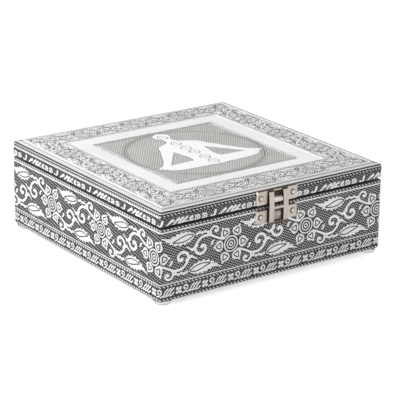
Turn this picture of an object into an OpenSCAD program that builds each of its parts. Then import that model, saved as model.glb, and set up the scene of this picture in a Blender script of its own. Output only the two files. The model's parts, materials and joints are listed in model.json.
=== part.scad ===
// A square keepsake box: a board carcass clad in embossed white metal, with a hinged lid and a hasp.
// The front, with the hasp, faces -Y. The origin is under the middle, on the plane the feet rest on.

/* [Carcass] */
// Outer side of the square box
side = 203; // [160:1:300]
// Height of the base, from its underside to its rim
base_h = 54.9; // [45:0.1:120]
// Height of the lid's rim, from its lower edge to the outer edge of its top
lid_h = 11.3; // [11:0.1:40]
// Gap between the base and the closed lid, which the hinge leaves fill
lid_gap = 1.2; // [1:0.1:2]
// Thickness of the wall boards and the lid's rails
wall_t = 6; // [5:0.1:10]
// Thickness of the bottom board
bottom_t = 4; // [3:0.1:8]
// Thickness of the lid's top board
board_t = 4; // [3:0.1:5]

/* [Cladding] */
// Thickness of the embossed metal, from its back to the top of its relief
clad_t = 0.6; // [0.55:0.01:0.8]
// Height of the relief above its ground
relief = 0.4; // [0.1:0.01:0.45]
// Width of metal that is folded over a rim
turn_in = 5.5; // [3:0.1:6]
// Radius of the upright corners
corner_r = 2.4; // [2.1:0.1:6]
// Radius of the lid's top edge
top_edge_r = 2; // [1.2:0.1:2]
// Radius of the base's lower edge
low_edge_r = 1.2; // [1:0.1:1.8]
// Radius of the two rims that face each other across the gap
rim_r = 0.8; // [0.7:0.05:1]
// Width of a rope moulding
rope_w = 2; // [1:0.1:3]
// Space from a rim to the rope beside it
rope_edge = 0.3; // [0.2:0.1:1]
// Height of the narrow border along the foot of the base
low_border_h = 6.5; // [4:0.1:12]
// Space between a rope and the pattern beside it
rope_gap = 0.6; // [0.3:0.1:2]

/* [Flower pattern] */
// Distance from one flower of the base to the next
flower_pitch = 68.5; // [50:0.5:100]
// Where the first flower stands, from the left end of a wall
flower_start = 62.1; // [20:0.1:100]
// Radius of the ring round a flower's middle
flower_ring_r = 6; // [3:0.1:7]
// Width of that ring
flower_ring_w = 1; // [0.5:0.1:2]
// Length of a petal
petal_l = 9; // [5:0.1:9.5]
// Width of a petal
petal_w = 7; // [3:0.1:7.5]
// Length of a leaf
leaf_l = 27; // [20:0.5:30]
// Width of a leaf
leaf_wide = 9; // [5:0.1:9.5]
// Radius to the middle of a scroll's line
scroll_r = 5; // [4:0.1:5.4]
// Width of the line of stems and scrolls
stem_w = 1.9; // [1:0.1:2.4]
// Size of the flowers on the lid's border, next to those of the base
border_flower_size = 0.6; // [0.4:0.05:0.6]
// Distance from one flower of the lid's border to the next
border_flower_pitch = 45.7; // [30:0.1:60]

/* [Lid top] */
// Plain rolled band round the lid's top
edge_band_w = 6; // [4:0.1:10]
// Width of a border strip
border_w = 26; // [15:0.5:40]
// Thickness of a border strip, with its relief
border_t = 1.6; // [1.2:0.1:3]
// Width of the smooth sloping frame inside the border
bevel_w = 12.5; // [5:0.5:20]
// Thickness of the centre plate, with its relief
plate_t = 0.8; // [0.7:0.1:1.1]
// Space from the circle to the centre plate's edge
circle_margin = 2.3; // [1:0.1:8]
// Width of each of the two lines of the circle
circle_line_w = 0.6; // [0.3:0.1:1.2]
// Space between those two lines
circle_line_gap = 0.9; // [0.4:0.1:2]
// Space from the circle to the top of the figure's head
figure_margin = 2.6; // [1:0.1:8]

/* [Lining] */
// Thickness of the velvet-covered card
lining_t = 1; // [0.5:0.1:1.2]
// How far the wall linings stop below the rim
lining_drop = 1; // [0.7:0.1:3]

/* [Feet] */
// Diameter of a foot
foot_d = 13.5; // [8:0.5:20]
// Height of a foot
foot_h = 3; // [2:0.1:6]
// Radius of a foot's lower edge
foot_edge_r = 1.8; // [0.5:0.1:1.9]
// Distance from the middle of a foot to the two nearest faces
foot_inset = 7; // [6.8:0.1:30]

/* [Hinges] */
// Length of a hinge
hinge_l = 25; // [15:1:40]
// Distance from a hinge's middle to the nearest side of the box
hinge_inset = 41.5; // [25:0.5:60]
// Width of a leaf, from the pin's axis
leaf_w = 6; // [5:0.1:6.2]
// Space between the two closed leaves
leaf_gap = 0.1; // [0.05:0.01:0.2]
// Radius of the hinge's barrel
barrel_r = 1.8; // [1.6:0.05:2.2]
// Radius of the hinge's pin
hinge_pin_r = 0.8; // [0.5:0.05:0.9]
// How far the hinge's axis lies inside the back face
axis_inset = 0.6; // [0.3:0.05:0.7]
// Length of a hinge screw under its head
screw_l = 4; // [3:0.1:4.4]
// Radius of a hinge screw
screw_r = 0.7; // [0.4:0.05:0.9]

/* [Hasp] */
// Width of the two latch plates
latch_w = 36.7; // [28:0.1:45]
// Height of the lid's latch plate
upper_plate_h = 10.6; // [9.5:0.1:10.8]
// Height of the base's latch plate
lower_plate_h = 10; // [8:0.1:14]
// Space from the base's rim to its latch plate
lower_plate_drop = 2.5; // [2:0.1:5]
// How far a latch plate stands out from the cladding
latch_stand = 1.4; // [1:0.1:1.6]
// Thickness of the sheet that the latch is pressed from
sheet_t = 0.7; // [0.5:0.05:0.8]
// Width of the hasp
hasp_w = 17.2; // [14:0.1:22]
// Width of each of the hasp's two rails
rail_w = 4.3; // [3:0.1:5]
// Height of the hasp above its pin
hasp_h = 23.8; // [20:0.1:24.4]
// Thickness of the hasp
hasp_t = 1; // [0.8:0.05:1.1]
// Height of the hasp's cross bar above its pin
bar_z = 10.1; // [7:0.1:10.4]
// Depth of the cross bar
bar_h = 2.2; // [1.5:0.1:2.5]
// Outer radius of the hasp's rolled knuckles
knuckle_r = 1.35; // [1.3:0.01:1.5]
// Distance from the lower edge of the base's latch plate down to the hasp pin's axis
hasp_pin_drop = 0.3; // [0:0.05:0.4]
// Radius of the hasp's pin
hasp_pin_r = 0.55; // [0.4:0.01:0.6]
// Distance from the cladding to the hasp pin's axis
hasp_pin_out = 2.4; // [2.3:0.05:2.6]
// Outer radius of the tongue that is rolled out of the lid's latch plate
tongue_r = 2.35; // [1.8:0.05:2.4]
// Space beside the tongue, between the hasp's rails
tongue_clear = 0.35; // [0.3:0.05:0.6]
// Metal left above the window over the tongue
window_edge = 1.5; // [0.5:0.05:2]
// Height of a latch nail's head
nail_head_t = 0.5; // [0.3:0.05:0.8]
// Radius of a latch nail's head
nail_head_r = 1.6; // [0.9:0.05:1.9]
// Radius of a latch nail's shank
nail_r = 0.5; // [0.3:0.05:0.7]
// Length of a latch nail under its head
nail_l = 6; // [4:0.1:6.2]
// Distance from a nail to the end of its plate
nail_inset = 3.8; // [2.5:0.1:4.5]

/* [Fits] */
// Radial running clearance of both pins in the knuckles that turn on them
pin_fit = 0.05; // [0.02:0.01:0.09]
// End clearance between neighbouring knuckles
knuckle_gap = 0.15; // [0.1:0.05:0.3]
// Space round the hasp's knuckles in the notches of the base's latch plate
latch_notch_clear = 0.3; // [0.2:0.05:0.5]
// Space round a hinge barrel in the rims
notch_clear = 0.4; // [0.3:0.05:0.6]

/* [Hidden] */

$fn = 48;
eps = 0.01;
// How far a cut runs past what it cuts
over = 1;

board_colour = "BurlyWood";
metal_colour = "Gainsboro";
bevel_colour = "WhiteSmoke";
velvet_colour = "FireBrick";
latch_colour = "Tan";
foot_colour = "LightSteelBlue";

// Levels, from the surface that the feet rest on
base_z = foot_h;
rim_z = base_z + base_h;
lid_z = rim_z + lid_gap;
top_z = lid_z + lid_h;
board_top = top_z - clad_t;
board_low = board_top - board_t;
rail_low = lid_z + clad_t;
floor_z = base_z + clad_t + bottom_t;
lining_top = rim_z - lining_drop;

// Plan sizes
core = side - 2 * clad_t;
inner = core - 2 * wall_t;
lined = inner - 2 * lining_t;
border_out = side / 2 - edge_band_w;
border_in = border_out - border_w;
plate_half = border_in - bevel_w;
circle_r = plate_half - circle_margin;

// Bands of the base's cladding
low_border_z = base_z + rope_edge + rope_w + rope_gap;
low_rope_z = low_border_z + low_border_h + rope_gap;
high_rope_z = rim_z - rope_edge - rope_w;
field_z = (low_rope_z + rope_w + high_rope_z) / 2;
flowers = floor((side - flower_start - flower_ring_r) / flower_pitch);

// Between two flowers: a scroll and a leaf, and the same pair turned by half a turn
scroll_at = [27.3, -4.2];
stem_arc_at = [18.5, 4.5];
stem_arc_r = 14.9;
stem_box = [[7.6, -14], [24.4, -3]];
leaf_at = [33, -12.6];
leaf_turn = -3;

// Hinges: the axis runs in the middle of the gap, just inside the back face
axis_y = side / 2 - axis_inset;
axis_z = rim_z + lid_gap / 2;
leaf_t = (lid_gap - leaf_gap) / 2;
hinge_x = side / 2 - hinge_inset;
knuckles = 5;
knuckle_pitch = hinge_l / knuckles;
leaf_start = barrel_r + notch_clear / 2;
screw_y = (leaf_w + leaf_start) / 2;
screw_x = hinge_l / 4;
screw_head_r = 2 * screw_r;

// Hasp: out is the distance from the cladding's face
lower_plate_top = rim_z - lower_plate_drop;
lower_plate_low = lower_plate_top - lower_plate_h;
upper_plate_low = lid_z + (lid_h - upper_plate_h) / 2;
hasp_pin_z = lower_plate_low - hasp_pin_drop;
rail_gap = hasp_w - 2 * rail_w;
tongue_w = rail_gap - 2 * tongue_clear;
tongue_z = upper_plate_low + tongue_r;
tongue_out = latch_stand - sheet_t / 2;
window_h = upper_plate_h - 2 * tongue_r - sheet_t - window_edge;

// The latch stands out in front and the barrels behind: the part is centred between them
front_reach = side / 2 + hasp_pin_out + knuckle_r;
back_reach = axis_y + barrel_r;
shift_y = (front_reach - back_reach) / 2;

// The seated figure is drawn in millimetres inside a circle of this radius, and scaled to the plate
figure_drawn_r = 54.7;
figure_drawn_margin = 2.6;
figure_scale = (circle_r - figure_margin) / (figure_drawn_r - figure_drawn_margin);
head_r = 7.2;
head_y = 44.8;
torso_points = [[0, 40], [3.6, 39], [4.2, 32], [12, 28.5], [18.4, 24], [20.6, 17], [18, 10.5], [14.4, 8],
                [12.6, -2], [11.6, -10], [13.5, -18.5], [12, -26], [0, -26]];
arm_points = [[18.4, 24], [20.9, 16.5], [26, 6], [33.5, -8], [40.5, -16.5], [46, -21.6], [45, -24],
              [38, -23.5], [32.5, -18.5], [25, -7], [14.4, 8]];
leg_points = [[0, -17.6], [12, -17.6], [24, -18.5], [36, -20.5], [40.5, -24.5], [38, -29.5], [28, -32],
              [0, -32]];
mark_y = [42.9, 24.3, 11.4, 0, -13.6, -25];
mark_r = 4;
mark_line_w = 1;
circle_fn = 180;

// ---- shapes that repeat ----

module quarter(r) {
    intersection() {
        circle(r);
        square(r);
    }
}

// Half of an upright section: straight at x = 0, with its outer corners rounded
module edge_profile(reach, h, r_top, r_low) {
    translate([0, r_low]) square([reach, h - r_low - r_top]);
    square([reach - r_low, h / 2]);
    translate([0, h / 2]) square([reach - r_top, h / 2]);
    translate([reach - r_low, r_low]) mirror([0, 1]) quarter(r_low);
    translate([reach - r_top, h - r_top]) quarter(r_top);
}

// A square block whose corners and outer edges are rounded
module rounded_block(w, h, r_side, r_top, r_low) {
    straight = w - 2 * r_side;
    for (x = [-1, 1], y = [-1, 1])
        translate([x * straight / 2, y * straight / 2, 0])
            rotate_extrude() edge_profile(r_side, h, r_top, r_low);
    for (turn = [0, 90])
        rotate(turn) rotate([90, 0, 90]) translate([0, 0, -straight / 2])
            linear_extrude(straight) {
                edge_profile(w / 2, h, r_top, r_low);
                mirror([1, 0]) edge_profile(w / 2, h, r_top, r_low);
            }
}

// A cube centred on x and y that stands on z
module post(size, at) {
    translate([at[0] - size[0] / 2, at[1] - size[1] / 2, at[2]]) cube(size);
}

// One side of a mitred square frame, lying along the front
module mitred(out, width, h) {
    linear_extrude(h)
        polygon([[-out, -out], [out, -out], [out - width, width - out], [width - out, width - out]]);
}

// Everything is built round the carcass's middle and placed by this
module placed() {
    translate([0, shift_y, 0]) children();
}

// ---- carcass of the base ----

module base_core() {
    translate([0, 0, base_z + clad_t])
        rounded_block(core, base_h - 2 * clad_t, corner_r - clad_t, rim_r - clad_t, low_edge_r - clad_t);
}

module barrel_notches() {
    for (x = [-1, 1])
        translate([x * hinge_x - hinge_l / 2 - notch_clear, axis_y - barrel_r - notch_clear,
                   axis_z - barrel_r - notch_clear])
            cube([hinge_l + 2 * notch_clear, wall_t, 2 * (barrel_r + notch_clear)]);
}

module bottom_panel() {
    color(board_colour) placed() post([inner, inner, bottom_t], [0, 0, base_z + clad_t]);
}

module front_wall() {
    color(board_colour) placed() difference() {
        intersection() {
            base_core();
            post([side, wall_t, rim_z], [0, (wall_t - core) / 2, 0]);
        }
        nail_shanks(lower_plate_low + lower_plate_h / 2);
    }
}

module back_wall() {
    color(board_colour) placed() difference() {
        intersection() {
            base_core();
            post([side, wall_t, rim_z], [0, (core - wall_t) / 2, 0]);
        }
        barrel_notches();
        screw_shanks(-1);
    }
}

module side_wall(x_side) {
    color(board_colour) placed() intersection() {
        base_core();
        post([wall_t, inner, rim_z], [x_side * (core - wall_t) / 2, 0, 0]);
    }
}

// ---- cladding ----

// The ground of a clad block, with the raised bands that bands() leaves standing
module clad_skin(z, h, r_top, r_low) {
    translate([0, 0, z])
        rounded_block(side - 2 * relief, h, corner_r - relief, r_top - relief, r_low - relief);
    intersection() {
        translate([0, 0, z]) rounded_block(side, h, corner_r, r_top, r_low);
        children();
    }
}

module band(z, h) {
    post([side + over, side + over, h], [0, 0, z]);
}

// A pointed oval of length l and width w, from its left tip
module leaf_shape(l, w) {
    swell = (l * l / w + w) / 4;
    intersection() {
        translate([l / 2, swell - w / 2]) circle(swell);
        translate([l / 2, w / 2 - swell]) circle(swell);
    }
}

module ring(r_mid, w) {
    difference() {
        circle(r_mid + w / 2);
        circle(r_mid - w / 2);
    }
}

module flower() {
    ring(flower_ring_r - flower_ring_w / 2, flower_ring_w);
    circle(flower_ring_r / 2);
    for (turn = [0:60:300])
        rotate(turn) translate([flower_ring_r + flower_ring_w / 2, 0]) leaf_shape(petal_l, petal_w);
}

// The stem, scroll and leaf that run on from a flower
module sprig() {
    translate(scroll_at) ring(scroll_r, stem_w);
    intersection() {
        translate(stem_arc_at) ring(stem_arc_r, stem_w);
        translate(stem_box[0]) square(stem_box[1] - stem_box[0]);
    }
    translate(leaf_at) rotate(leaf_turn) leaf_shape(leaf_l, leaf_wide);
}

// Sprigs fill the space between two flowers, and half a one runs on round each corner
module wall_pattern() {
    for (turn = [0:90:270])
        rotate(turn) for (i = [-1:flowers])
            translate([flower_start + i * flower_pitch - side / 2, clad_t - side / 2, field_z])
                rotate([90, 0, 0]) linear_extrude(clad_t + over) {
                    if (i >= 0)
                        flower();
                    sprig();
                    translate([flower_pitch, 0]) rotate(180) sprig();
                }
}

module base_cladding() {
    color(metal_colour) placed() difference() {
        clad_skin(base_z, base_h, rim_r, low_edge_r) {
            band(base_z, rope_edge + rope_w);
            band(low_rope_z, rope_w);
            band(high_rope_z, rim_z - high_rope_z);
            wall_pattern();
        }
        base_core();
        post([side - 2 * turn_in, side - 2 * turn_in, base_h + 2 * over], [0, 0, base_z - over]);
        barrel_notches();
        nail_shanks(lower_plate_low + lower_plate_h / 2);
        screw_shanks(-1);
    }
}

// ---- linings ----

module floor_lining() {
    color(velvet_colour) placed() post([inner, inner, lining_t], [0, 0, floor_z]);
}

module cross_lining(y_side) {
    low = floor_z + lining_t;
    color(velvet_colour) placed()
        post([inner, lining_t, lining_top - low], [0, y_side * (inner - lining_t) / 2, low]);
}

module side_lining(x_side) {
    low = floor_z + lining_t;
    color(velvet_colour) placed()
        post([lining_t, lined, lining_top - low], [x_side * (inner - lining_t) / 2, 0, low]);
}

module lid_lining() {
    color(velvet_colour) placed() post([inner, inner, lining_t], [0, 0, board_low - lining_t]);
}

// ---- feet ----

module foot(x_side, y_side) {
    reach = side / 2 - foot_inset;
    color(foot_colour) placed() translate([x_side * reach, y_side * reach, 0])
        rotate_extrude() {
            translate([0, foot_edge_r]) square([foot_d / 2, foot_h - foot_edge_r]);
            square([foot_d / 2 - foot_edge_r, foot_h]);
            translate([foot_d / 2 - foot_edge_r, foot_edge_r]) mirror([0, 1]) quarter(foot_edge_r);
        }
}

// ---- hinges ----

// The knuckles of one leaf: the base has the first, third and fifth, the lid the others
module hinge_knuckles(first, bore_r) {
    for (i = [first:2:knuckles - 1])
        translate([i * knuckle_pitch - hinge_l / 2 + knuckle_gap / 2, 0, 0])
            difference() {
                union() {
                    rotate([0, 90, 0]) cylinder(r = barrel_r, h = knuckle_pitch - knuckle_gap);
                    translate([0, -leaf_start - eps, 0]) children();
                }
                translate([-over, 0, 0]) rotate([0, 90, 0])
                    cylinder(r = bore_r, h = knuckle_pitch + 2 * over);
            }
}

// up is -1 for the base's leaf and 1 for the lid's
module hinge_leaf(x_side, up) {
    first = (up + 1) / 2;
    leaf_low = (up < 0) ? -lid_gap / 2 : leaf_gap / 2;
    color(latch_colour) placed() translate([x_side * hinge_x, axis_y, axis_z]) {
        hinge_knuckles(first, up < 0 ? hinge_pin_r : hinge_pin_r + pin_fit)
            translate([0, 0, leaf_low]) cube([knuckle_pitch - knuckle_gap, leaf_start, leaf_t]);
        difference() {
            translate([-hinge_l / 2, -leaf_w, leaf_low]) cube([hinge_l, leaf_w - leaf_start, leaf_t]);
            for (x = [-1, 1])
                translate([x * screw_x, -screw_y, leaf_low])
                    if (up < 0)
                        cylinder(r1 = screw_r, r2 = screw_head_r, h = leaf_t);
                    else
                        cylinder(r1 = screw_head_r, r2 = screw_r, h = leaf_t);
        }
    }
}

module hinge_pin(x_side) {
    color(latch_colour) placed() translate([x_side * hinge_x - hinge_l / 2, axis_y, axis_z])
        rotate([0, 90, 0]) cylinder(r = hinge_pin_r, h = hinge_l);
}

// Shanks of the four screws of the base, up = -1, or of the lid, up = 1
module screw_shanks(up) {
    for (x_side = [-1, 1], x = [-1, 1])
        translate([x_side * hinge_x + x * screw_x, axis_y - screw_y, axis_z + up * lid_gap / 2])
            mirror([0, 0, up < 0 ? 1 : 0]) cylinder(r = screw_r, h = screw_l);
}

module hinge_screws(up) {
    color(latch_colour) placed() {
        screw_shanks(up);
        for (x_side = [-1, 1], x = [-1, 1])
            translate([x_side * hinge_x + x * screw_x, axis_y - screw_y, axis_z + up * lid_gap / 2])
                mirror([0, 0, up > 0 ? 1 : 0]) cylinder(r1 = screw_r, r2 = screw_head_r, h = leaf_t);
    }
}

// ---- latch ----

// Shanks of the two nails of a latch plate, at height z
module nail_shanks(z) {
    for (x = [-1, 1])
        translate([x * (latch_w / 2 - nail_inset), -side / 2 - latch_stand, z])
            rotate([-90, 0, 0]) cylinder(r = nail_r, h = nail_l);
}

module latch_nails(z) {
    color(latch_colour) placed() {
        nail_shanks(z);
        for (x = [-1, 1])
            translate([x * (latch_w / 2 - nail_inset), -side / 2 - latch_stand, z])
                rotate([90, 0, 0]) intersection() {
                    cylinder(r = nail_head_r, h = nail_head_t);
                    translate([0, 0, nail_head_t - 2 * nail_head_r]) sphere(2 * nail_head_r);
                }
    }
}

// A shallow pressed tray, open towards the wall
module pressed_plate(z, h) {
    difference() {
        post([latch_w, latch_stand, h], [0, -(side + latch_stand) / 2, z]);
        post([latch_w - 2 * sheet_t, latch_stand, h - 2 * sheet_t],
             [0, -(side + latch_stand) / 2 + sheet_t, z + sheet_t]);
        nail_shanks(z + h / 2);
    }
}

// A rolled knuckle round the hasp's pin, from x to x + w
module hasp_knuckle(x, w, bore_r) {
    translate([x, -side / 2 - hasp_pin_out, hasp_pin_z]) rotate([0, 90, 0]) difference() {
        cylinder(r = knuckle_r, h = w);
        translate([0, 0, -over]) cylinder(r = bore_r, h = w + 2 * over);
    }
}

// Space that the hasp's knuckles turn in, cut out of the plate's lower edge
module knuckle_notches() {
    for (x = [-1, 1])
        post([rail_w + 2 * knuckle_gap, 2 * hasp_pin_out, knuckle_r + latch_notch_clear + over],
             [x * (rail_gap + rail_w) / 2, -side / 2 - hasp_pin_out, hasp_pin_z - over]);
}

module lower_latch_plate() {
    w = rail_gap - 2 * knuckle_gap;
    color(latch_colour) placed() {
        difference() {
            pressed_plate(lower_plate_low, lower_plate_h);
            knuckle_notches();
        }
        difference() {
            union() {
                hasp_knuckle(-w / 2, w, hasp_pin_r);
                post([w, hasp_pin_out, sheet_t], [0, -(side + hasp_pin_out) / 2, lower_plate_low]);
            }
            translate([-w, -side / 2 - hasp_pin_out, hasp_pin_z]) rotate([0, 90, 0])
                cylinder(r = hasp_pin_r, h = 2 * w);
        }
    }
}

module hasp_pin() {
    color(latch_colour) placed() translate([-hasp_w / 2, -side / 2 - hasp_pin_out, hasp_pin_z])
        rotate([0, 90, 0]) cylinder(r = hasp_pin_r, h = hasp_w);
}

module hasp() {
    face = -side / 2 - hasp_pin_out - knuckle_r;
    color(latch_colour) placed() {
        for (x = [-1, 1]) {
            hasp_knuckle(x * (rail_gap + rail_w) / 2 - rail_w / 2, rail_w, hasp_pin_r + pin_fit);
            difference() {
                post([rail_w, hasp_t, hasp_h], [x * (rail_gap + rail_w) / 2, face + hasp_t / 2, hasp_pin_z]);
                translate([-hasp_w, -side / 2 - hasp_pin_out, hasp_pin_z]) rotate([0, 90, 0])
                    cylinder(r = hasp_pin_r + pin_fit, h = 2 * hasp_w);
            }
        }
        post([rail_gap + 2 * eps, hasp_t, bar_h], [0, face + hasp_t / 2, hasp_pin_z + bar_z]);
    }
}

module upper_latch_plate() {
    color(latch_colour) placed() {
        difference() {
            pressed_plate(upper_plate_low, upper_plate_h);
            post([tongue_w, latch_stand, window_h],
                 [0, -(side + latch_stand) / 2 - sheet_t, upper_plate_low + 2 * tongue_r + sheet_t]);
        }
        translate([-tongue_w / 2, -side / 2 - tongue_out, tongue_z]) rotate([0, 90, 0])
            intersection() {
                difference() {
                    cylinder(r = tongue_r, h = tongue_w);
                    translate([0, 0, -over]) cylinder(r = tongue_r - sheet_t, h = tongue_w + 2 * over);
                }
                translate([-tongue_r, -tongue_r, 0]) cube([2 * tongue_r, tongue_r, tongue_w]);
            }
    }
}

// ---- lid ----

module lid_core() {
    translate([0, 0, rail_low])
        rounded_block(core, lid_h - 2 * clad_t, corner_r - clad_t, top_edge_r - clad_t, rim_r - clad_t);
}

module lid_board() {
    color(board_colour) placed() intersection() {
        lid_core();
        post([side, side, board_t], [0, 0, board_low]);
    }
}

module lid_cross_rail(y_side) {
    color(board_colour) placed() difference() {
        intersection() {
            lid_core();
            post([side, wall_t, board_low - lid_z], [0, y_side * (core - wall_t) / 2, lid_z]);
        }
        barrel_notches();
        screw_shanks(1);
        nail_shanks(upper_plate_low + upper_plate_h / 2);
    }
}

module lid_side_rail(x_side) {
    color(board_colour) placed() intersection() {
        lid_core();
        post([wall_t, inner, board_low - lid_z], [x_side * (core - wall_t) / 2, 0, lid_z]);
    }
}

module lid_cladding() {
    color(metal_colour) placed() difference() {
        clad_skin(lid_z, lid_h, top_edge_r, rim_r) {
            band(top_z - top_edge_r - rope_w, rope_w);
            band(top_z - top_edge_r, top_edge_r);
            band(lid_z, rim_r);
        }
        lid_core();
        post([side - 2 * turn_in, side - 2 * turn_in, lid_h], [0, 0, lid_z - over]);
        post([2 * border_out, 2 * border_out, lid_h], [0, 0, board_low]);
        barrel_notches();
        screw_shanks(1);
        nail_shanks(upper_plate_low + upper_plate_h / 2);
    }
}

module border_strip(turn) {
    color(metal_colour) placed() rotate(turn) translate([0, 0, board_top]) {
        mitred(border_out, border_w, border_t - relief);
        mitred(border_out, rope_w, border_t);
        mitred(border_in + rope_w, rope_w, border_t);
        for (i = [-1:1])
            translate([i * border_flower_pitch, border_w / 2 - border_out, 0])
                linear_extrude(border_t) scale(border_flower_size) flower();
    }
}

// Smooth frame that slopes down from the border to the centre plate
module bevel_frame() {
    color(bevel_colour) placed() translate([0, 0, board_top]) for (turn = [0:90:270])
        rotate(turn) intersection() {
            mitred(border_in, bevel_w, border_t);
            rotate([90, 0, 90]) translate([0, 0, -border_in]) linear_extrude(2 * border_in)
                polygon([[-border_in, 0], [-border_in, border_t - relief],
                         [-plate_half, plate_t], [-plate_half, 0]]);
        }
}

module circle_line(r) {
    difference() {
        circle(r, $fn = circle_fn);
        circle(r - circle_line_w, $fn = circle_fn);
    }
}

module both_sides() {
    children();
    mirror([1, 0]) children();
}

module figure() {
    translate([0, head_y]) circle(head_r);
    both_sides() {
        polygon(torso_points);
        polygon(arm_points);
        polygon(leg_points);
    }
}

module centre_plate() {
    color(bevel_colour) placed() translate([0, 0, board_top]) {
        post([2 * plate_half, 2 * plate_half, plate_t - relief / 2], [0, 0, 0]);
        linear_extrude(plate_t) {
            circle_line(circle_r);
            circle_line(circle_r - circle_line_w - circle_line_gap);
            scale(figure_scale) difference() {
                figure();
                for (y = mark_y)
                    translate([0, y]) circle(mark_r);
            }
        }
        linear_extrude(plate_t) scale(figure_scale) for (y = mark_y)
            translate([0, y]) circle(mark_r - mark_line_w);
    }
}

bottom_panel();
front_wall();
back_wall();
side_wall(-1);  // left_wall
side_wall(1);  // right_wall
base_cladding();
floor_lining();
cross_lining(-1);  // front_lining
cross_lining(1);  // back_lining
side_lining(-1);  // left_lining
side_lining(1);  // right_lining
foot(-1, -1);  // front_left_foot
foot(1, -1);  // front_right_foot
foot(-1, 1);  // back_left_foot
foot(1, 1);  // back_right_foot
hinge_leaf(-1, -1);  // left_hinge_base_leaf
hinge_leaf(1, -1);  // right_hinge_base_leaf
hinge_pin(-1);  // left_hinge_pin
hinge_pin(1);  // right_hinge_pin
hinge_screws(-1);  // hinge_base_screws
lower_latch_plate();
latch_nails(lower_plate_low + lower_plate_h / 2);  // lower_latch_nails
hasp_pin();
hasp();
lid_board();
lid_cross_rail(-1);  // lid_front_rail
lid_cross_rail(1);  // lid_back_rail
lid_side_rail(-1);  // lid_left_rail
lid_side_rail(1);  // lid_right_rail
lid_cladding();
border_strip(0);  // front_border_strip
border_strip(90);  // right_border_strip
border_strip(180);  // back_border_strip
border_strip(270);  // left_border_strip
bevel_frame();
centre_plate();
lid_lining();
hinge_leaf(-1, 1);  // left_hinge_lid_leaf
hinge_leaf(1, 1);  // right_hinge_lid_leaf
hinge_screws(1);  // hinge_lid_screws
upper_latch_plate();
latch_nails(upper_plate_low + upper_plate_h / 2);  // upper_latch_nails
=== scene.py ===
"""Looks of a square keepsake box clad in embossed white metal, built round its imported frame.

Lengths are in millimetres until a mesh is made. The sheet metal is drawn as dies: each die is a
small height map of one repeat of a pattern, from 0 on the ground to 1 on the crests, and every clad
face presses its own mesh from one or more dies.
"""

import json
import math

import bmesh
import bpy
import numpy as np
from mathutils import Matrix, Vector


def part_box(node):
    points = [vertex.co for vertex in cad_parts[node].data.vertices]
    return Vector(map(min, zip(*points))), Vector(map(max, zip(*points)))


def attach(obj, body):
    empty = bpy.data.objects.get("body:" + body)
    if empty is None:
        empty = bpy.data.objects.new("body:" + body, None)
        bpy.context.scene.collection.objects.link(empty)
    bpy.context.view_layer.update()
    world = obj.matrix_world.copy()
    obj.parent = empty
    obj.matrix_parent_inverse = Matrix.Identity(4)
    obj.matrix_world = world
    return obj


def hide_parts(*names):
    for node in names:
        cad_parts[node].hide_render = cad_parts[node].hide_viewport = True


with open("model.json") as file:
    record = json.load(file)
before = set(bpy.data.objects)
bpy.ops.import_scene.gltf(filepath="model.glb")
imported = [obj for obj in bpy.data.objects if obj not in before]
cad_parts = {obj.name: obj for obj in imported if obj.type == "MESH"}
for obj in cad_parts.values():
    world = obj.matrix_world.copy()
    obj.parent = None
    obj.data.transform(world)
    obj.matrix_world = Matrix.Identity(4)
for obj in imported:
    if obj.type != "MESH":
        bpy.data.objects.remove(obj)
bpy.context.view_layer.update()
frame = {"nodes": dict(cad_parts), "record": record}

MM = 0.001


def box_mm(node):
    """Lowest and highest corners of a CAD node, in millimetres."""
    low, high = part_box(node)
    return np.array(low) / MM, np.array(high) / MM


# ---- sizes taken from the frame ----

base_low, base_high = box_mm("base_cladding")
lid_low, lid_high = box_mm("lid_cladding")
strip_low, strip_high = box_mm("front_border_strip")
plate_low, plate_high = box_mm("centre_plate")
HALF = (base_high[0] - base_low[0]) / 2
CENTRE_Y = (base_high[1] + base_low[1]) / 2
BASE_H = base_high[2] - base_low[2]
LID_H = lid_high[2] - lid_low[2]
BORDER_OUT = (strip_high[0] - strip_low[0]) / 2
BORDER_W = strip_high[1] - strip_low[1]
PLATE_HALF = (plate_high[0] - plate_low[0]) / 2

# ---- sizes of the finish ----

CELL = 0.4          # spacing of the pressed meshes
CORNER_R = 2.4      # upright corners
SHEET_T = 0.55      # cladding from its back to the crests
DEPTH = 0.42        # crests above the ground
TURN_IN = 5.4       # metal folded over a rim
FOLD_RISE_AND_SHADE = 0.28  # folded metal is plain, and kept dark as painted shade in the gap between base and lid
RIM_R = 0.8         # edges beside the gap between base and lid
LOW_R = 1.2         # lower edge of the base
TOP_R = 2.0         # rolled top edge of the lid


# ---- dies ----

def smooth_path(points, steps=8, closed=False):
    """A Catmull-Rom curve through given points."""
    p = np.array(points, float)
    ext = np.vstack([p[-1:], p, p[:2]]) if closed else np.vstack([2 * p[0] - p[1], p, 2 * p[-1] - p[-2]])
    t = np.linspace(0, 1, steps, endpoint=False)[:, None]
    out = []
    for a, b, c, d in zip(ext[:-3], ext[1:-2], ext[2:-1], ext[3:]):
        out.append(0.5 * (2 * b + (c - a) * t + (2 * a - 5 * b + 4 * c - d) * t**2
                          + (3 * b - a - 3 * c + d) * t**3))
    if not closed:
        out.append(p[-1:])
    return np.vstack(out)


def ease(x):
    """A soft step from 0 to 1."""
    x = np.clip(x, 0, 1)
    return x * x * (3 - 2 * x)


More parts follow.
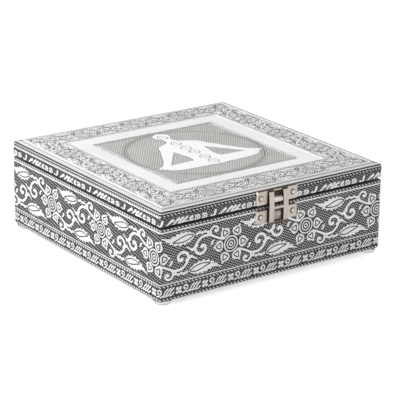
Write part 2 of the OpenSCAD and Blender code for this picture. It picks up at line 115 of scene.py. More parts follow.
class Die:
    """One repeat of a pattern. It wraps round along u and covers v from low to high."""

    def __init__(self, pitch, low, high, cell=0.14):
        self.pitch, self.low, self.high = pitch, low, high
        self.nu, self.nv = round(pitch / cell), round((high - low) / cell)
        u = (np.arange(self.nu) + 0.5) * pitch / self.nu
        v = low + (np.arange(self.nv) + 0.5) * (high - low) / self.nv
        self.u, self.v = np.meshgrid(u, v, indexing="ij")
        self.rise = np.zeros_like(self.u)
        self.figure = np.zeros_like(self.u)

    def press(self, reach, box, top=1.0, edge=0.38, cut=False):
        """Raises, or with cut lowers, the die where reach(u, v), the depth inside a shape, is positive."""
        u0, v0, u1, v1 = box
        for shift in (-self.pitch, 0, self.pitch):
            i0, i1 = np.searchsorted(self.u[:, 0], (u0 + shift - 1, u1 + shift + 1))
            j0, j1 = np.searchsorted(self.v[0], (v0 - 1, v1 + 1))
            if i0 >= i1 or j0 >= j1:
                continue
            area = (slice(i0, i1), slice(j0, j1))
            inside = ease(reach(self.u[area] - shift, self.v[area]) / edge + 0.5)
            if cut:
                self.rise[area] *= 1 - inside * (1 - top)
            else:
                self.rise[area] = np.maximum(self.rise[area], top * inside)
                self.figure[area] = np.maximum(self.figure[area], inside)

    def stroke(self, points, width, end_width=None, steps=8, closed=False, **how):
        """A line of round section through the points, which may taper to end_width."""
        path = smooth_path(points, steps, closed)
        if closed:
            path = np.vstack([path, path[:1]])
        end_width = width if end_width is None else end_width
        half = np.linspace(width, end_width, len(path)) / 2
        spread = half.max()
        box = (*(path.min(0) - spread), *(path.max(0) + spread))

        def reach(u, v):
            best = np.full(u.shape, -1e9)
            for (a, b, ra, rb) in zip(path[:-1], path[1:], half[:-1], half[1:]):
                along = b - a
                t = ((u - a[0]) * along[0] + (v - a[1]) * along[1]) / max(along @ along, 1e-9)
                t = np.clip(t, 0, 1)
                away = np.hypot(u - a[0] - t * along[0], v - a[1] - t * along[1])
                best = np.maximum(best, ra + (rb - ra) * t - away)
            return best

        self.press(reach, box, **how)

    def disc(self, u0, v0, r, **how):
        self.press(lambda u, v: r - np.hypot(u - u0, v - v0), (u0 - r, v0 - r, u0 + r, v0 + r), **how)

    def ring(self, u0, v0, r, width, **how):
        self.press(lambda u, v: width / 2 - abs(np.hypot(u - u0, v - v0) - r),
                   (u0 - r - width, v0 - r - width, u0 + r + width, v0 + r + width), **how)

    def patch(self, outline, **how):
        """A filled shape inside a closed outline."""
        a = np.array(outline, float)
        b = np.roll(a, -1, 0)
        box = (*a.min(0), *a.max(0))

        def reach(u, v):
            away = np.full(u.shape, 1e9)
            odd = np.zeros(u.shape, bool)
            for (p, q) in zip(a, b):
                along = q - p
                t = ((u - p[0]) * along[0] + (v - p[1]) * along[1]) / max(along @ along, 1e-9)
                t = np.clip(t, 0, 1)
                away = np.minimum(away, np.hypot(u - p[0] - t * along[0], v - p[1] - t * along[1]))
                if p[1] != q[1]:
                    odd ^= ((p[1] > v) != (q[1] > v)) & (u < p[0] + (v - p[1]) * along[0] / along[1])
            return np.where(odd, away, -away)

        self.press(reach, box, **how)

    def clear_ground(self, steps=3):
        """Keeps the ground's dots a few grid steps away from the figures."""
        wide = self.figure.copy()
        for i in range(-steps, steps + 1):
            for j in range(-steps, steps + 1):
                if i * i + j * j <= steps * steps:
                    wide = np.maximum(wide, np.roll(self.figure, (i, j), (0, 1)))
        self.figure = wide

    def turn_half(self):
        """Adds the pattern turned by half a turn about the middle of the die."""
        self.rise = np.maximum(self.rise, self.rise[::-1, ::-1])
        self.figure = np.maximum(self.figure, self.figure[::-1, ::-1])

    def look(self, u, v):
        """Rise and figure mask at any (u, v), between the grid's points."""
        x = (u / self.pitch % 1) * self.nu - 0.5
        y = np.clip((v - self.low) / (self.high - self.low) * self.nv - 0.5, 0, self.nv - 1.001)
        i, j = np.floor(x).astype(int), np.floor(y).astype(int)
        fx, fy = x - i, y - j
        i0, i1 = i % self.nu, (i + 1) % self.nu
        out = []
        for grid in (self.rise, self.figure):
            out.append((grid[i0, j] * (1 - fx) + grid[i1, j] * fx) * (1 - fy)
                       + (grid[i0, j + 1] * (1 - fx) + grid[i1, j + 1] * fx) * fy)
        within = (v > self.low) & (v < self.high)
        return out[0] * within, out[1] * within


def turned(points, angle):
    """Points turned about the origin."""
    c, s = math.cos(angle), math.sin(angle)
    return [(c * x - s * y, s * x + c * y) for x, y in points]


def both(points):
    """A closed outline from its upper half, mirrored in the axis."""
    return list(points) + [(x, -y) for x, y in reversed(points) if y > 0]


def flower(die):
    """Six pointed petals round a ringed eye, about the middle of the die."""
    outline = both([(6.9, 0), (7.1, 1.9), (8.6, 3.7), (10.6, 4.4), (12.6, 3.3), (13.9, 1.3), (16.3, 0)])
    heart = both([(9.3, 0), (8.7, 1.3), (9.6, 2.2), (11.0, 1.6), (13.2, 0)])
    for k in range(6):
        angle = math.radians(60 * k)
        die.patch(turned(outline, angle))
        die.stroke(turned(heart, angle), 0.95, steps=3, closed=True, cut=True, top=0.0)
    die.disc(0, 0, 7.3, top=0.0)
    die.disc(0, 0, 7.1, cut=True, top=0.0)
    for r, width in ((5.75, 1.0), (3.45, 0.85), (1.4, 0.85)):
        die.ring(0, 0, r, width)


def serrated(path, teeth, bite):
    """An edge with leaf teeth that lean towards the tip."""
    out = []
    steps = len(path)
    for k, (p, q) in enumerate(zip(path[:-1], path[1:])):
        along = (q - p) / max(np.linalg.norm(q - p), 1e-9)
        side = np.array([-along[1], along[0]])
        phase = (k / steps * teeth) % 1
        fade = math.sin(math.pi * min(1, max(0, k / steps)))
        out.append(p + side * bite * (phase - 0.5) * fade)
    return out


def field_die():
    """The running pattern of the base: a flower, and between flowers a stem, spirals and two leaves."""
    die = Die(68.5, -19.2, 19.2)

    # the stem, which ends in a spiral, and the hook outside that spiral
    stem = [(6.2, -5.0), (9.7, -6.0), (14.7, -8.4), (18.4, -10.3), (22.2, -10.7), (25.9, -10.0), (29.7, -6.8),
            (31.4, -2.8), (30.2, 0.4), (27.2, 2.0), (24.1, 1.4), (22.4, -0.9), (23.3, -3.4), (25.2, -3.9)]
    die.stroke(stem[:5], 1.3, 1.9)
    die.stroke(stem[4:], 1.9, 2.3)
    die.disc(25.6, -3.2, 1.5)
    die.stroke([(29.9, -4.6), (32.0, -3.4), (34.6, -2.9), (38.8, -5.3)], 2.5, 0.8)
    die.stroke([(31.6, -2.4), (34.0, -1.6), (35.6, -2.9)], 1.0, 0.5)

    # the curl under the stem, and knobs from there to the leaf
    curl = [(17.6, -9.8), (18.2, -12.6), (17.2, -15.0), (14.8, -16.2), (12.4, -15.3), (11.5, -13.5), (12.2, -12.0),
            (13.7, -12.2)]
    die.stroke(curl, 1.7, 1.4)
    die.disc(13.8, -12.9, 1.2)
    for u0, v0, r in ((20.3, -12.9, 1.2), (22.9, -13.9, 1.15), (25.4, -13.3, 1.1), (27.7, -14.2, 1.15),
                      (29.9, -13.4, 1.1)):
        die.disc(u0, v0, r)
    die.stroke([(19.8, -13.2), (25, -13.8), (31, -13.6)], 0.8)

    # the toothed leaf, its tip and the line pressed inside it
    upper = smooth_path([(31.6, -13.2), (34.4, -9.9), (38.4, -8.2), (42.8, -7.5), (47.8, -8.0), (52.2, -10.0),
                         (56.0, -12.4), (59.9, -15.2)], 10)
    lower = smooth_path([(31.6, -13.2), (34.4, -15.4), (38.0, -16.5), (42.2, -16.8), (46.2, -16.4), (50.3, -15.2),
                         (54.4, -14.2), (59.9, -15.2)], 10)
    die.patch(serrated(upper, 8, 2.0) + serrated(lower, 8, -2.0)[::-1])
    die.stroke([(50.0, -12.2), (55.0, -13.7), (60.4, -15.3)], 2.2, 0.7)
    lens = [(33.0, -13.2), (36.4, -11.1), (40.6, -9.9), (45.0, -9.7), (50.4, -10.7), (46.4, -12.2), (42.0, -13.7),
            (37.4, -14.5)]
    die.stroke(lens, 0.95, steps=5, closed=True, cut=True, top=0.05)
    die.stroke([(51.5, -11.4), (54.5, -12.7), (57.0, -13.9)], 0.5, 0.3, cut=True, top=0.3)

    # a bud on the stem
    die.stroke([(15.2, -5.6), (16.9, -4.6), (17.5, -2.6)], 1.5, 0.9)
    die.disc(16.4, -3.4, 0.8)
    die.turn_half()
    flower(die)
    die.clear_ground()
    return die


def rim_die():
    """The narrow running pattern of the lid's rim, from 0 at the lower edge."""
    die = Die(45.66, -0.6, 5.2)

    # a hook, and slanted leaves on a line
    die.stroke([(1.5, 4.3), (1.0, 2.6), (0.2, 1.0), (-1.4, 0.5), (-2.6, 1.5)], 1.9, 1.0)
    for foot, tip, width in (((5.0, 0.5), (10.3, 3.7), 2.1), ((10.9, 0.6), (15.4, 4.0), 1.9),
                             ((14.9, 0.8), (18.8, 4.1), 1.7), ((18.2, 0.9), (22.6, 4.0), 1.6)):
        middle = ((foot[0] + tip[0]) / 2 + 0.3, (foot[1] + tip[1]) / 2 + 0.5)
        die.stroke([foot, middle, tip], 1.0, width + 0.2)
    die.stroke([(15.8, 0.6), (19.4, 1.3), (23.4, 1.0)], 1.3, 0.7)

    # an open curl and two rolled squares
    die.stroke([(27.3, 3.9), (25.7, 3.6), (25.0, 2.1), (26.0, 0.8), (27.5, 1.1)], 1.1, 1.2)
    die.stroke([(26.2, 2.3), (27.4, 3.0)], 0.7)
    for u0 in (31.2, 37.5):
        box = [(u0 - 2.2, 0.6), (u0 + 1.2, 0.4), (u0 + 2.4, 1.6), (u0 + 2.0, 3.6), (u0 + 0.2, 4.3), (u0 - 2.1, 3.9),
               (u0 - 1.7, 2.4)]
        die.patch(smooth_path(box, 5, True))
        die.stroke([(u0 - 0.9, 1.4), (u0 + 0.9, 1.3), (u0 + 1.2, 2.6), (u0 - 0.7, 3.1)], 0.55, closed=True,
                   cut=True, top=0.1)
    return die


def foot_die():
    """The narrow border along the foot of the base, from 0 at its lower edge."""
    die = Die(22.83, -0.4, 7.0)
    mid = 3.2

    # a flower of four lobes
    for k in range(4):
        angle = math.radians(45 + 90 * k)
        die.disc(1.9 * math.cos(angle), mid + 2.0 * math.sin(angle), 1.15)
    die.disc(0, mid, 0.8, top=0.6)

    # a curl with a knob at its end, and three slanted leaves
    curl = [(4.9, 3.2), (4.3, 4.4), (5.2, 5.7), (6.9, 5.8), (7.8, 4.5), (7.2, 2.8), (5.6, 1.3), (3.4, 0.6)]
    die.stroke(curl, 0.95, 1.0)
    die.disc(5.4, 3.4, 0.75)
    for k in range(3):
        u0 = 7.0 + 2.6 * k
        die.stroke([(u0, 0.5), (u0 + 2.6, 1.7), (u0 + 4.1, 3.9), (u0 + 6.3, 5.8)], 0.8, 1.15)
    die.stroke([(15.0, 0.6), (16.6, 0.9), (18.5, 2.3)], 0.8, 1.2)
    die.clear_ground(2)
    return die


def lattice(u, v, pitch_u, pitch_v, low, high):
    """Dots in rows that are half a pitch apart and staggered."""
    dots = np.cos(2 * np.pi * u / pitch_u) * np.cos(2 * np.pi * v / pitch_v)
    return low + (high - low) * ease((dots + 0.1) / 0.9)


def crossed(u, v, ridges, low, high, second=1.0):
    """Fine dots where two sets of slanting ridges cross, each set given in waves per millimetre of u and v."""
    (fu, fv), (gu, gv) = ridges
    height = np.cos(2 * np.pi * (fu * u + fv * v)) + second * np.cos(2 * np.pi * (gu * u + gv * v))
    return low + (high - low) * ease((height / (1 + second) + 0.3) / 1.1)


def on_left_or_right(u):
    """1 on the left and right sides and 0 on the front and back."""
    return np.floor(u / SIDE_LENGTH) % 2


def ground_dots(u, v, low=0.0, high=0.6):
    """The ground of the cladding. Its ridges slant another way on the left and right sides."""
    front = crossed(u, v, FRONT_RIDGES, low, high)
    turned_side = crossed(u, v, SIDE_RIDGES, low, 0.8 * high, 0.8)
    return np.where(on_left_or_right(u) == 1, turned_side, front)


def line(v, at, width, top=1.0, edge=0.3):
    """A raised line along the box at one height."""
    return top * ease((width / 2 - abs(v - at)) / edge + 0.5)


FIELD = field_die()
RIM = rim_die()
FOOT = foot_die()
FRONT_RIDGES = ((0.265, 0.52), (0.43, -0.35))
SIDE_RIDGES = ((0.09, 0.39), (0.40, -0.49))

# bands of the base, as heights above the cladding's underside
FIELD_MID = 32.3
FIELD_PHASE = 61.2              # an eye of a flower, from the front left corner
FIELD_BAND = (13.6, 51.4)
FOOT_LOW = 3.4
FOOT_PHASE = 16.0
FOOT_BAND = (3.2, 10.1)
BROAD_LINES = ((13.2, 0.7), (51.9, 0.6))    # height and width
THIN_LINES = (3.0, 10.2, 12.5)
HIGH_ROPE_LINES = (52.5, 54.8)  # on the left and right sides these are raised and brightened as painted highlight
THIN_LINE = (0.4, 0.4)          # width and rise

# bands of the lid's rim, as heights above its lower edge and then along the metal
RIM_GROUND = (0.5, 6.8)
RIM_FIGURE_TOP = 5.2
ROLLED_BAND = (9.3, 10.65)
TOP_BAND = 11.65
TOP_LINES = ((12.5, 0.5, 0.4), (14.0, 0.45, 0.3), (15.6, 0.5, 0.45))    # where, how wide, how dark
TOP_BAND_PAINTED_SHADE = np.array([1.0, 0.55, 0.5, 0.97])   # front, right, back and left: painted shade on the right and back sides


def base_relief(u, v):
    """Rise of the base's cladding. u runs round the box from the front left corner, v up from its underside."""
    rise, figure = FIELD.look(u - FIELD_PHASE, v - FIELD_MID)
    border, border_figure = FOOT.look(u - FOOT_PHASE, v - FOOT_LOW)
    in_field = (v > FIELD_BAND[0]) & (v < FIELD_BAND[1])
    in_border = (v > FOOT_BAND[0]) & (v < FOOT_BAND[1])
    ground = ground_dots(u, v) * in_field * (1 - figure)
    ground += ground_dots(u, v, 0.0, 0.42) * in_border * (1 - border_figure)
    rise = np.maximum.reduce([rise * in_field, border * in_border, ground])
    for at, width in BROAD_LINES:
        rise = np.maximum(rise, line(v, at, width))
    for at in THIN_LINES:
        rise = np.maximum(rise, line(v, at, *THIN_LINE))
    # painted highlight: higher and brighter on the left and right sides, where the light falls
    for at in HIGH_ROPE_LINES:
        rise = np.maximum(rise, line(v, at, *THIN_LINE) * (1 + 0.8 * on_left_or_right(u)))
    return rise


def rim_relief(u, v):
    """Rise of the lid's rim. v runs up from its lower edge and on over the rolled edge and the top band."""
    rise, figure = RIM.look(u - RIM.pitch, v)
    ground = ground_dots(u, v, 0.0, 0.48) * (v > RIM_GROUND[0]) * (v < RIM_GROUND[1]) * (1 - figure)
    rise = np.maximum(rise * (v < RIM_FIGURE_TOP), ground)
    rise = np.maximum(rise, line(v, 7.05, 0.4, 0.45) + line(v, 0.35, 0.6, 0.5))
    # painted highlight: a bright line under the rim's rope, on the left and right sides only
    rise = np.maximum(rise, line(v, 7.1, 0.8) * on_left_or_right(u))
    ticks = np.cos(2 * np.pi * (u / 2.7 + v / 2.4))
    # the rolled band is kept mid-grey as painted shade of the rolled edge
    rolled = ease((v - ROLLED_BAND[0]) / 0.3) * ease((ROLLED_BAND[1] - v) / 0.3)
    rise = np.maximum(rise, rolled * (0.56 + 0.12 * ticks))
    top_band = ease((v - TOP_BAND) / 0.4)
    lines = 1
    for at, width, dark in TOP_LINES:
        lines = lines - dark * line(v, at, width)
    # painted shade: the top band is darker on the right and back sides
    shade = TOP_BAND_PAINTED_SHADE[np.floor(u / SIDE_LENGTH).astype(int) % 4]
    return np.maximum(rise, top_band * lines * (0.73 + 0.24 * ticks) * shade)


# ---- meshes ----

def new_mesh(name, points, faces, relief=None, smooth=True):
    """An object from points in millimetres and a list of face arrays, one array for each count of sides."""
    mesh = bpy.data.meshes.new(name)
    loops = np.concatenate([f.ravel() for f in faces])
    starts = []
    at = 0
    for f in faces:
        starts.append(at + np.arange(len(f)) * f.shape[1])
        at += f.size
    starts = np.concatenate(starts)
    mesh.vertices.add(len(points))
    mesh.vertices.foreach_set("co", (np.asarray(points) * MM).astype(np.float32).ravel())
    mesh.loops.add(len(loops))
    mesh.polygons.add(len(starts))
    mesh.polygons.foreach_set("loop_start", starts.astype(np.int32))
    mesh.polygons.foreach_set("vertices", loops.astype(np.int32))
    mesh.polygons.foreach_set("use_smooth", np.full(len(starts), smooth))
    if relief is not None:
        layer = mesh.attributes.new("relief", "FLOAT", "POINT")
        layer.data.foreach_set("value", np.asarray(relief, np.float32).ravel())
    mesh.update(calc_edges=True)
    mesh.validate()
    obj = bpy.data.objects.new(name, mesh)
    bpy.context.scene.collection.objects.link(obj)
    return obj


def loft(name, *shells):
    """Closed shells in one mesh. Each is points, as stations x section x 3, with their relief."""
    all_points, all_relief, faces = [], [], []
    at = 0
    for points, relief in shells:
        n, m = points.shape[:2]
        index = at + np.arange(n * m).reshape(n, m)
        nxt = np.roll(index, -1, 1)
        faces.append(np.stack([index[:-1], index[1:], nxt[1:], nxt[:-1]], -1).reshape(-1, 4))
        faces += [index[0][None, :], index[-1][None, ::-1]]
        all_points.append(points.reshape(-1, 3))
        all_relief.append(relief.reshape(-1))
        at += n * m
    return new_mesh(name, np.concatenate(all_points), faces, np.concatenate(all_relief))


def place_side(side, a, b, z):
    """Point from a along a side and b out from the middle; side 0 is the front, and they go anticlockwise."""
    x, y = ((a, -b), (b, a), (-a, b), (-b, -a))[side]
    return np.stack([x, y + CENTRE_Y, z], -1)


SIDES = ("front", "right", "back", "left")
SIDE_LENGTH = 2 * (HALF - CORNER_R) + math.pi / 2 * CORNER_R


def arc(d0, z0, r, start, end, steps=6):
    """Points of a rounded edge: d is the inset from the outer face, and the last two are the outward normal."""
    angles = np.radians(np.linspace(start, end, steps))
    return [(d0 - r * math.cos(t), z0 + r * math.sin(t), -math.cos(t), math.sin(t)) for t in angles]


def run(d0, z0, d1, z1, normal, cell=CELL):
    """Points along a straight stretch of a section, without its ends."""
    steps = max(2, round(math.hypot(d1 - d0, z1 - z0) / cell))
    t = np.arange(1, steps) / steps
    return [(d0 + (d1 - d0) * k, z0 + (z1 - z0) * k, *normal) for k in t]


def clad_side(name, side, z0, section, inner, relief):
    """One side of a clad block, from the middle of one rounded corner to the middle of the next."""
    straight = HALF - CORNER_R
    arc_steps = 6
    phi = np.radians(np.linspace(-45, 0, arc_steps))
    flat = round(2 * straight / CELL)
    turn = np.concatenate([phi[:-1], np.zeros(flat + 1), -phi[::-1][1:]])
    share = np.concatenate([np.full(arc_steps - 1, -1.0), np.linspace(-1, 1, flat + 1), np.full(arc_steps - 1, 1.0)])
    along = share * straight + CORNER_R * turn
    u = along + SIDE_LENGTH / 2 + (side if side < 3 else -1) * SIDE_LENGTH
    outer = np.array(section)
    length = np.concatenate([[0], np.cumsum(np.hypot(*np.diff(outer[:, :2], axis=0).T))])
    v = outer[:, 1].copy()
    top = outer[:, 1].max()
    on_top = (outer[:, 3] > 0.01) & (outer[:, 1] > top / 2)
    if on_top.any():
        first = np.argmax(on_top)
        v[first:] = v[first - 1] + length[first:] - length[first - 1]
    rise = relief(u[:, None], v[None, :])
    sink = DEPTH * (1 - rise)
    d = outer[None, :, 0] - outer[None, :, 2] * sink
    z = outer[None, :, 1] - outer[None, :, 3] * sink
    back = np.array(inner)
    d = np.concatenate([d, np.broadcast_to(back[:, 0], (len(u), len(back)))], 1)
    z = np.concatenate([z, np.broadcast_to(back[:, 1], (len(u), len(back)))], 1)
    rise = np.concatenate([rise, np.zeros((len(u), len(back)))], 1)
    radius = np.maximum(CORNER_R - d, 0)
    reach = HALF - d - radius
    a = share[:, None] * reach + radius * np.sin(turn)[:, None]
    b = reach + radius * np.cos(turn)[:, None]
    return loft(name, (place_side(side, a, b, z + z0), rise))


def base_section():
    """Section of the base's cladding: the outside with its normals, and the back."""
    t = SHEET_T
    outer = ([(TURN_IN, 0, 0, -1)] + run(TURN_IN, 0, LOW_R, 0, (0, -1), 1.2) + arc(LOW_R, LOW_R, LOW_R, -90, 0)
             + run(0, LOW_R, 0, BASE_H - RIM_R, (-1, 0)) + arc(RIM_R, BASE_H - RIM_R, RIM_R, 0, 90, 5)
             + run(RIM_R, BASE_H, TURN_IN, BASE_H, (0, 1), 1.2) + [(TURN_IN, BASE_H, 0, 1)])
    inner = [(TURN_IN, BASE_H - t), (t, BASE_H - t), (t, BASE_H / 2), (t, t), (TURN_IN, t)]
    return outer, inner


def rim_section():
    """Section of the lid's cladding, from its turned-in edge round to the band beside the strips."""
    t = SHEET_T
    band = HALF - BORDER_OUT
    outer = ([(TURN_IN, 0, 0, -1)] + run(TURN_IN, 0, RIM_R, 0, (0, -1), 1.2) + arc(RIM_R, RIM_R, RIM_R, -90, 0, 5)
             + run(0, RIM_R, 0, LID_H - TOP_R, (-1, 0)) + arc(TOP_R, LID_H - TOP_R, TOP_R, 0, 90, 9)
             + run(TOP_R, LID_H, band, LID_H, (0, 1)) + [(band, LID_H, 0, 1)])
    inner = [(band, LID_H - t), (TOP_R, LID_H - t), (t + 0.6, LID_H - t - 0.6), (t, LID_H - TOP_R), (t, t),
             (TURN_IN, t)]
    return outer, inner


def flange_flat(relief, low, high):
    """The relief, made plain where the metal is folded under or over a rim, and dark there as painted shade."""
    def flat(u, v):
        fade = ease((v - low) / 0.4) * ease((high - v) / 0.4)
        return relief(u, v) * fade + FOLD_RISE_AND_SHADE * (1 - fade)
    return flat


cladding = []
outer, inner = base_section()
upright = flange_flat(base_relief, 0.1, BASE_H - 0.1)
for side, word in enumerate(SIDES):
    piece = clad_side(f"{word}_cladding", side, base_low[2], outer, inner, upright)
    cladding.append(piece)
    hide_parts("base_cladding")
    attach(piece, "base")

rims = []
outer, inner = rim_section()
above_fold = flange_flat(rim_relief, 0.1, 99)
for side, word in enumerate(SIDES):
    piece = clad_side(f"{word}_lid_rim", side, lid_low[2], outer, inner, above_fold)
    rims.append(piece)
    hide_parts("lid_cladding")
    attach(piece, "lid")


# ---- lid top ----

BORDER_SCALE = 0.62             # size of the pattern across a strip, beside the base's
BORDER_PITCH = 45.66            # one repeat of it along a strip
BORDER_RIDGES = ((0.33, 0.38), (0.41, -0.30))
SPRIG_AT = 12.9                 # small slanted strokes between a flower and the leaves beside it
SPRIG_PITCH = 2.3
ROPE_BAND = 2.3                 # room for the rope along a strip's edges


def border_relief(a, b):
    """Rise of a border strip: a along it from its middle, b inwards from its outer edge."""
    low, high = ROPE_BAND + 0.5, BORDER_W - ROPE_BAND - 1.4
    middle = (low + high) / 2
    rise, figure = FIELD.look(a * FIELD.pitch / BORDER_PITCH, (middle - b) / BORDER_SCALE)
    inside = (b > low) & (b < high)
    hatch = 0.5 + 0.5 * np.cos(2 * np.pi * (0.12 * a - 0.42 * b))
    ground = crossed(a, b, BORDER_RIDGES, 0.08, 0.48)
    along = a % BORDER_PITCH
    from_sprig = np.minimum(along, BORDER_PITCH - along) - SPRIG_AT
    slanted = np.cos(2 * np.pi * (b + 0.9 * from_sprig) / SPRIG_PITCH)
    sprig = ease((1.7 - abs(from_sprig)) / 0.6) * ease((slanted + 0.2) / 0.6)
    ground = np.maximum(ground, 0.8 * sprig) * (1 - figure)
    rise = np.maximum(rise * (1 - 0.45 * hatch), ground) * inside
    for at, width, top in ((low - 0.3, 0.5, 0.7), (high + 0.3, 0.5, 0.8), (BORDER_W - 0.3, 0.8, 0.9),
                           (0.2, 0.7, 0.9)):
        rise = np.maximum(rise, line(b, at, width, top))
    return rise


def border_strip(side):
    """A mitred strip of embossed metal."""
    word = SIDES[side]
    node = f"{word}_border_strip"
    low, high = box_mm(node)
    rows = round(BORDER_W / CELL)
    columns = round(2 * BORDER_OUT / CELL)
    b_in = np.linspace(0, BORDER_W, rows + 1)
    share = np.linspace(-1, 1, columns + 1)
    a = share[:, None] * (BORDER_OUT - b_in)[None, :]
    rise = border_relief(a, np.broadcast_to(b_in, a.shape))
    z = high[2] - DEPTH * (1 - rise)
    skirt = np.array([BORDER_W, 0.0])
    a_low = share[:, None] * (BORDER_OUT - skirt)[None, :]
    a = np.concatenate([a, a_low], 1)
    b = np.concatenate([np.broadcast_to(BORDER_OUT - b_in, (columns + 1, rows + 1)),
                        np.broadcast_to(BORDER_OUT - skirt, (columns + 1, 2))], 1)
    z = np.concatenate([z, np.full((columns + 1, 2), low[2])], 1)
    rise = np.concatenate([rise, np.zeros((columns + 1, 2))], 1)
    piece = loft(f"{word}_border", (place_side(side, a, b, z), rise))
    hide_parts(node)
    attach(piece, "lid")
    return piece


borders = [border_strip(side) for side in range(4)]

CIRCLE_R = PLATE_HALF - 2.3
DRAWN_CIRCLE_R = 54.7           # the circle's radius where the figure is drawn
MARKS = (42.9, 24.3, 11.4, 0.0, -13.6, -25.0)   # heights of the round marks
HEAD_Y, HEAD_R = 44.8, 7.0
TOPKNOT_Y, TOPKNOT_R = 53.0, 1.6
TOOTH_PITCH = 2.9
TOOTH_BAND = 3.7


def figure_outlines():
    """A seated figure with open arms and crossed legs, in millimetres from the circle's centre."""
    torso = [(0, 40), (3.4, 39.4), (3.6, 33.5), (5.6, 29.6), (11, 26.6), (16.8, 23.4), (20.0, 18.6), (19.4, 13.6),
             (16.8, 9.6), (13.8, 6), (12.6, -1), (11.4, -8), (11.5, -14), (13.5, -20), (12, -26), (0, -26)]
    arm = [(15.4, 22.6), (19.4, 19.0), (22.0, 13.6), (26, 6.5), (30.6, -2), (35.4, -10), (40.6, -16.2), (46.4, -20.4),
           (47.2, -22.4), (44.2, -22.6), (45.2, -24.8), (41, -23.8), (36.4, -20.8), (32.2, -15.6), (26.6, -8.4),
           (20.8, -0.6), (14.8, 7.6)]
    leg = [(0, -17.2), (12, -17.6), (24, -17.9), (34, -18.9), (40.6, -21.6), (42.4, -25.2), (39.4, -29), (32, -31.4),
           (22, -32.4), (10, -32.6), (0, -32.4)]
    return torso, arm, leg


def plate_die():
    """The centre plate, as one die that is wider than the plate, so nothing wraps."""
    size = 2 * PLATE_HALF + 6
    die = Die(size, -size / 2, size / 2, 0.2)
    mid = size / 2
    scale = CIRCLE_R / DRAWN_CIRCLE_R
    die.disc(mid, HEAD_Y * scale, HEAD_R * scale)
    for outline in figure_outlines():
        for way in (-1, 1):
            points = smooth_path(outline, 5, True) * scale
            die.patch([(mid + way * x, y) for x, y in points], edge=0.45)
    die.disc(mid, TOPKNOT_Y * scale, TOPKNOT_R * scale)
    for y in MARKS:
        at = (mid, y * scale)
        die.ring(*at, 4.1 * scale, 1.0, cut=True, top=0.0)
        die.disc(*at, 1.3 * scale, cut=True, top=0.25)
        die.disc(*at, 0.6 * scale, top=0.9)
        for k in range(8):
            angle = math.pi / 4 * k
            die.disc(at[0] + 2.6 * scale * math.cos(angle), at[1] + 2.6 * scale * math.sin(angle), 0.55, cut=True,
                     top=0.3)

    # the circle: a dark groove between two fine lines
    die.ring(mid, 0, CIRCLE_R - 1.2, 3.2, top=0.0)
    die.ring(mid, 0, CIRCLE_R - 1.2, 1.8, cut=True, top=0.0)
    die.ring(mid, 0, CIRCLE_R - 0.1, 0.45, top=0.8)
    die.ring(mid, 0, CIRCLE_R - 2.3, 0.4, top=0.75)
    die.clear_ground(3)
    return die


def centre_plate():
    """The pressed plate inside the sloping frame."""
    die = plate_die()
    steps = round(2 * PLATE_HALF / CELL)
    x = np.linspace(-PLATE_HALF, PLATE_HALF, steps + 1)
    gx, gy = np.meshgrid(x, x, indexing="ij")
    rise, figure = die.look(gx + die.pitch / 2, gy)
    inset = PLATE_HALF - np.maximum(abs(gx), abs(gy))
    along_edge = np.where(abs(gx) > abs(gy), gy, gx)
    teeth = ease((np.cos(2 * np.pi * along_edge / TOOTH_PITCH) + 0.25) / 0.6)
    teeth *= np.where(abs(gx) > abs(gy), 1.0, 0.4)
    field = ease((inset - TOOTH_BAND) / 0.4)
    ground = lattice(gx, gy, 2.2, 2.9, 0.16, 0.62) * field + (1 - field) * teeth
    rise = np.maximum(rise, ground * (1 - figure))
    edge = (abs(gx) > PLATE_HALF - 0.01) | (abs(gy) > PLATE_HALF - 0.01)
    z = np.where(edge, plate_low[2], plate_high[2] - DEPTH * (1 - rise))
    points = np.stack([gx, gy + CENTRE_Y, z], -1)
    rows = np.concatenate([points, np.stack([gx[:, ::steps], gy[:, ::steps] + CENTRE_Y,
                                             np.full((steps + 1, 2), plate_low[2])], -1)[:, ::-1]], 1)
    relief = np.concatenate([rise, np.zeros((steps + 1, 2))], 1)
    piece = loft("pressed_centre_plate", (rows[::-1], relief[::-1]))
    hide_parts("centre_plate")
    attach(piece, "lid")
    return piece


plate = centre_plate()


# ---- latch: pressed and rolled from sheet ----

FRONT_Y = CENTRE_Y - HALF       # the cladding's face
LATCH_STAND = 1.4               # plate's face in front of the cladding
LATCH_SHEET = 0.72
SHOULDER = 0.55
PLATE_CORNER = 1.3
NAIL_HEAD_R = 1.55
NAIL_INSET = 3.8
FACE_TONE = 0.58                # relief value of the plain faces; painted highlight makes edges brighter and painted shade makes hollows darker

hasp_low, hasp_high = box_mm("hasp")
pin_low, pin_high = box_mm("hasp_pin")
PIN_Y, PIN_Z = (pin_low[1:] + pin_high[1:]) / 2
HASP_HALF = hasp_high[0]
RAIL_W = 4.3
RAIL_IN = HASP_HALF - RAIL_W
KNUCKLE_R = PIN_Z - hasp_low[2]
TONGUE_R = 2.35
BAR_LOW, BAR_HIGH = PIN_Z + 10.1, PIN_Z + 12.3
STAMP = (2.4, 50.4, 1.9)        # middle of the diamond on the lower plate, and its half width
NAIL_FACETS = 24


def finish_edges(piece, angle=38):
    """Outward normals, and creases where the surface turns sharply."""
    mesh = bmesh.new()
    mesh.from_mesh(piece.data)
    bmesh.ops.recalc_face_normals(mesh, faces=mesh.faces)
    mesh.to_mesh(piece.data)
    mesh.free()
    piece.data.set_sharp_from_angle(angle=math.radians(angle))


def box_depth(x, z, x0, z0, x1, z1, corner):
    """How far (x, z) lies inside a rectangle with rounded corners."""
    qx = abs(x - (x0 + x1) / 2) - (x1 - x0) / 2 + corner
    qz = abs(z - (z0 + z1) / 2) - (z1 - z0) / 2 + corner
    return corner - np.hypot(np.maximum(qx, 0), np.maximum(qz, 0)) - np.minimum(np.maximum(qx, qz), 0)


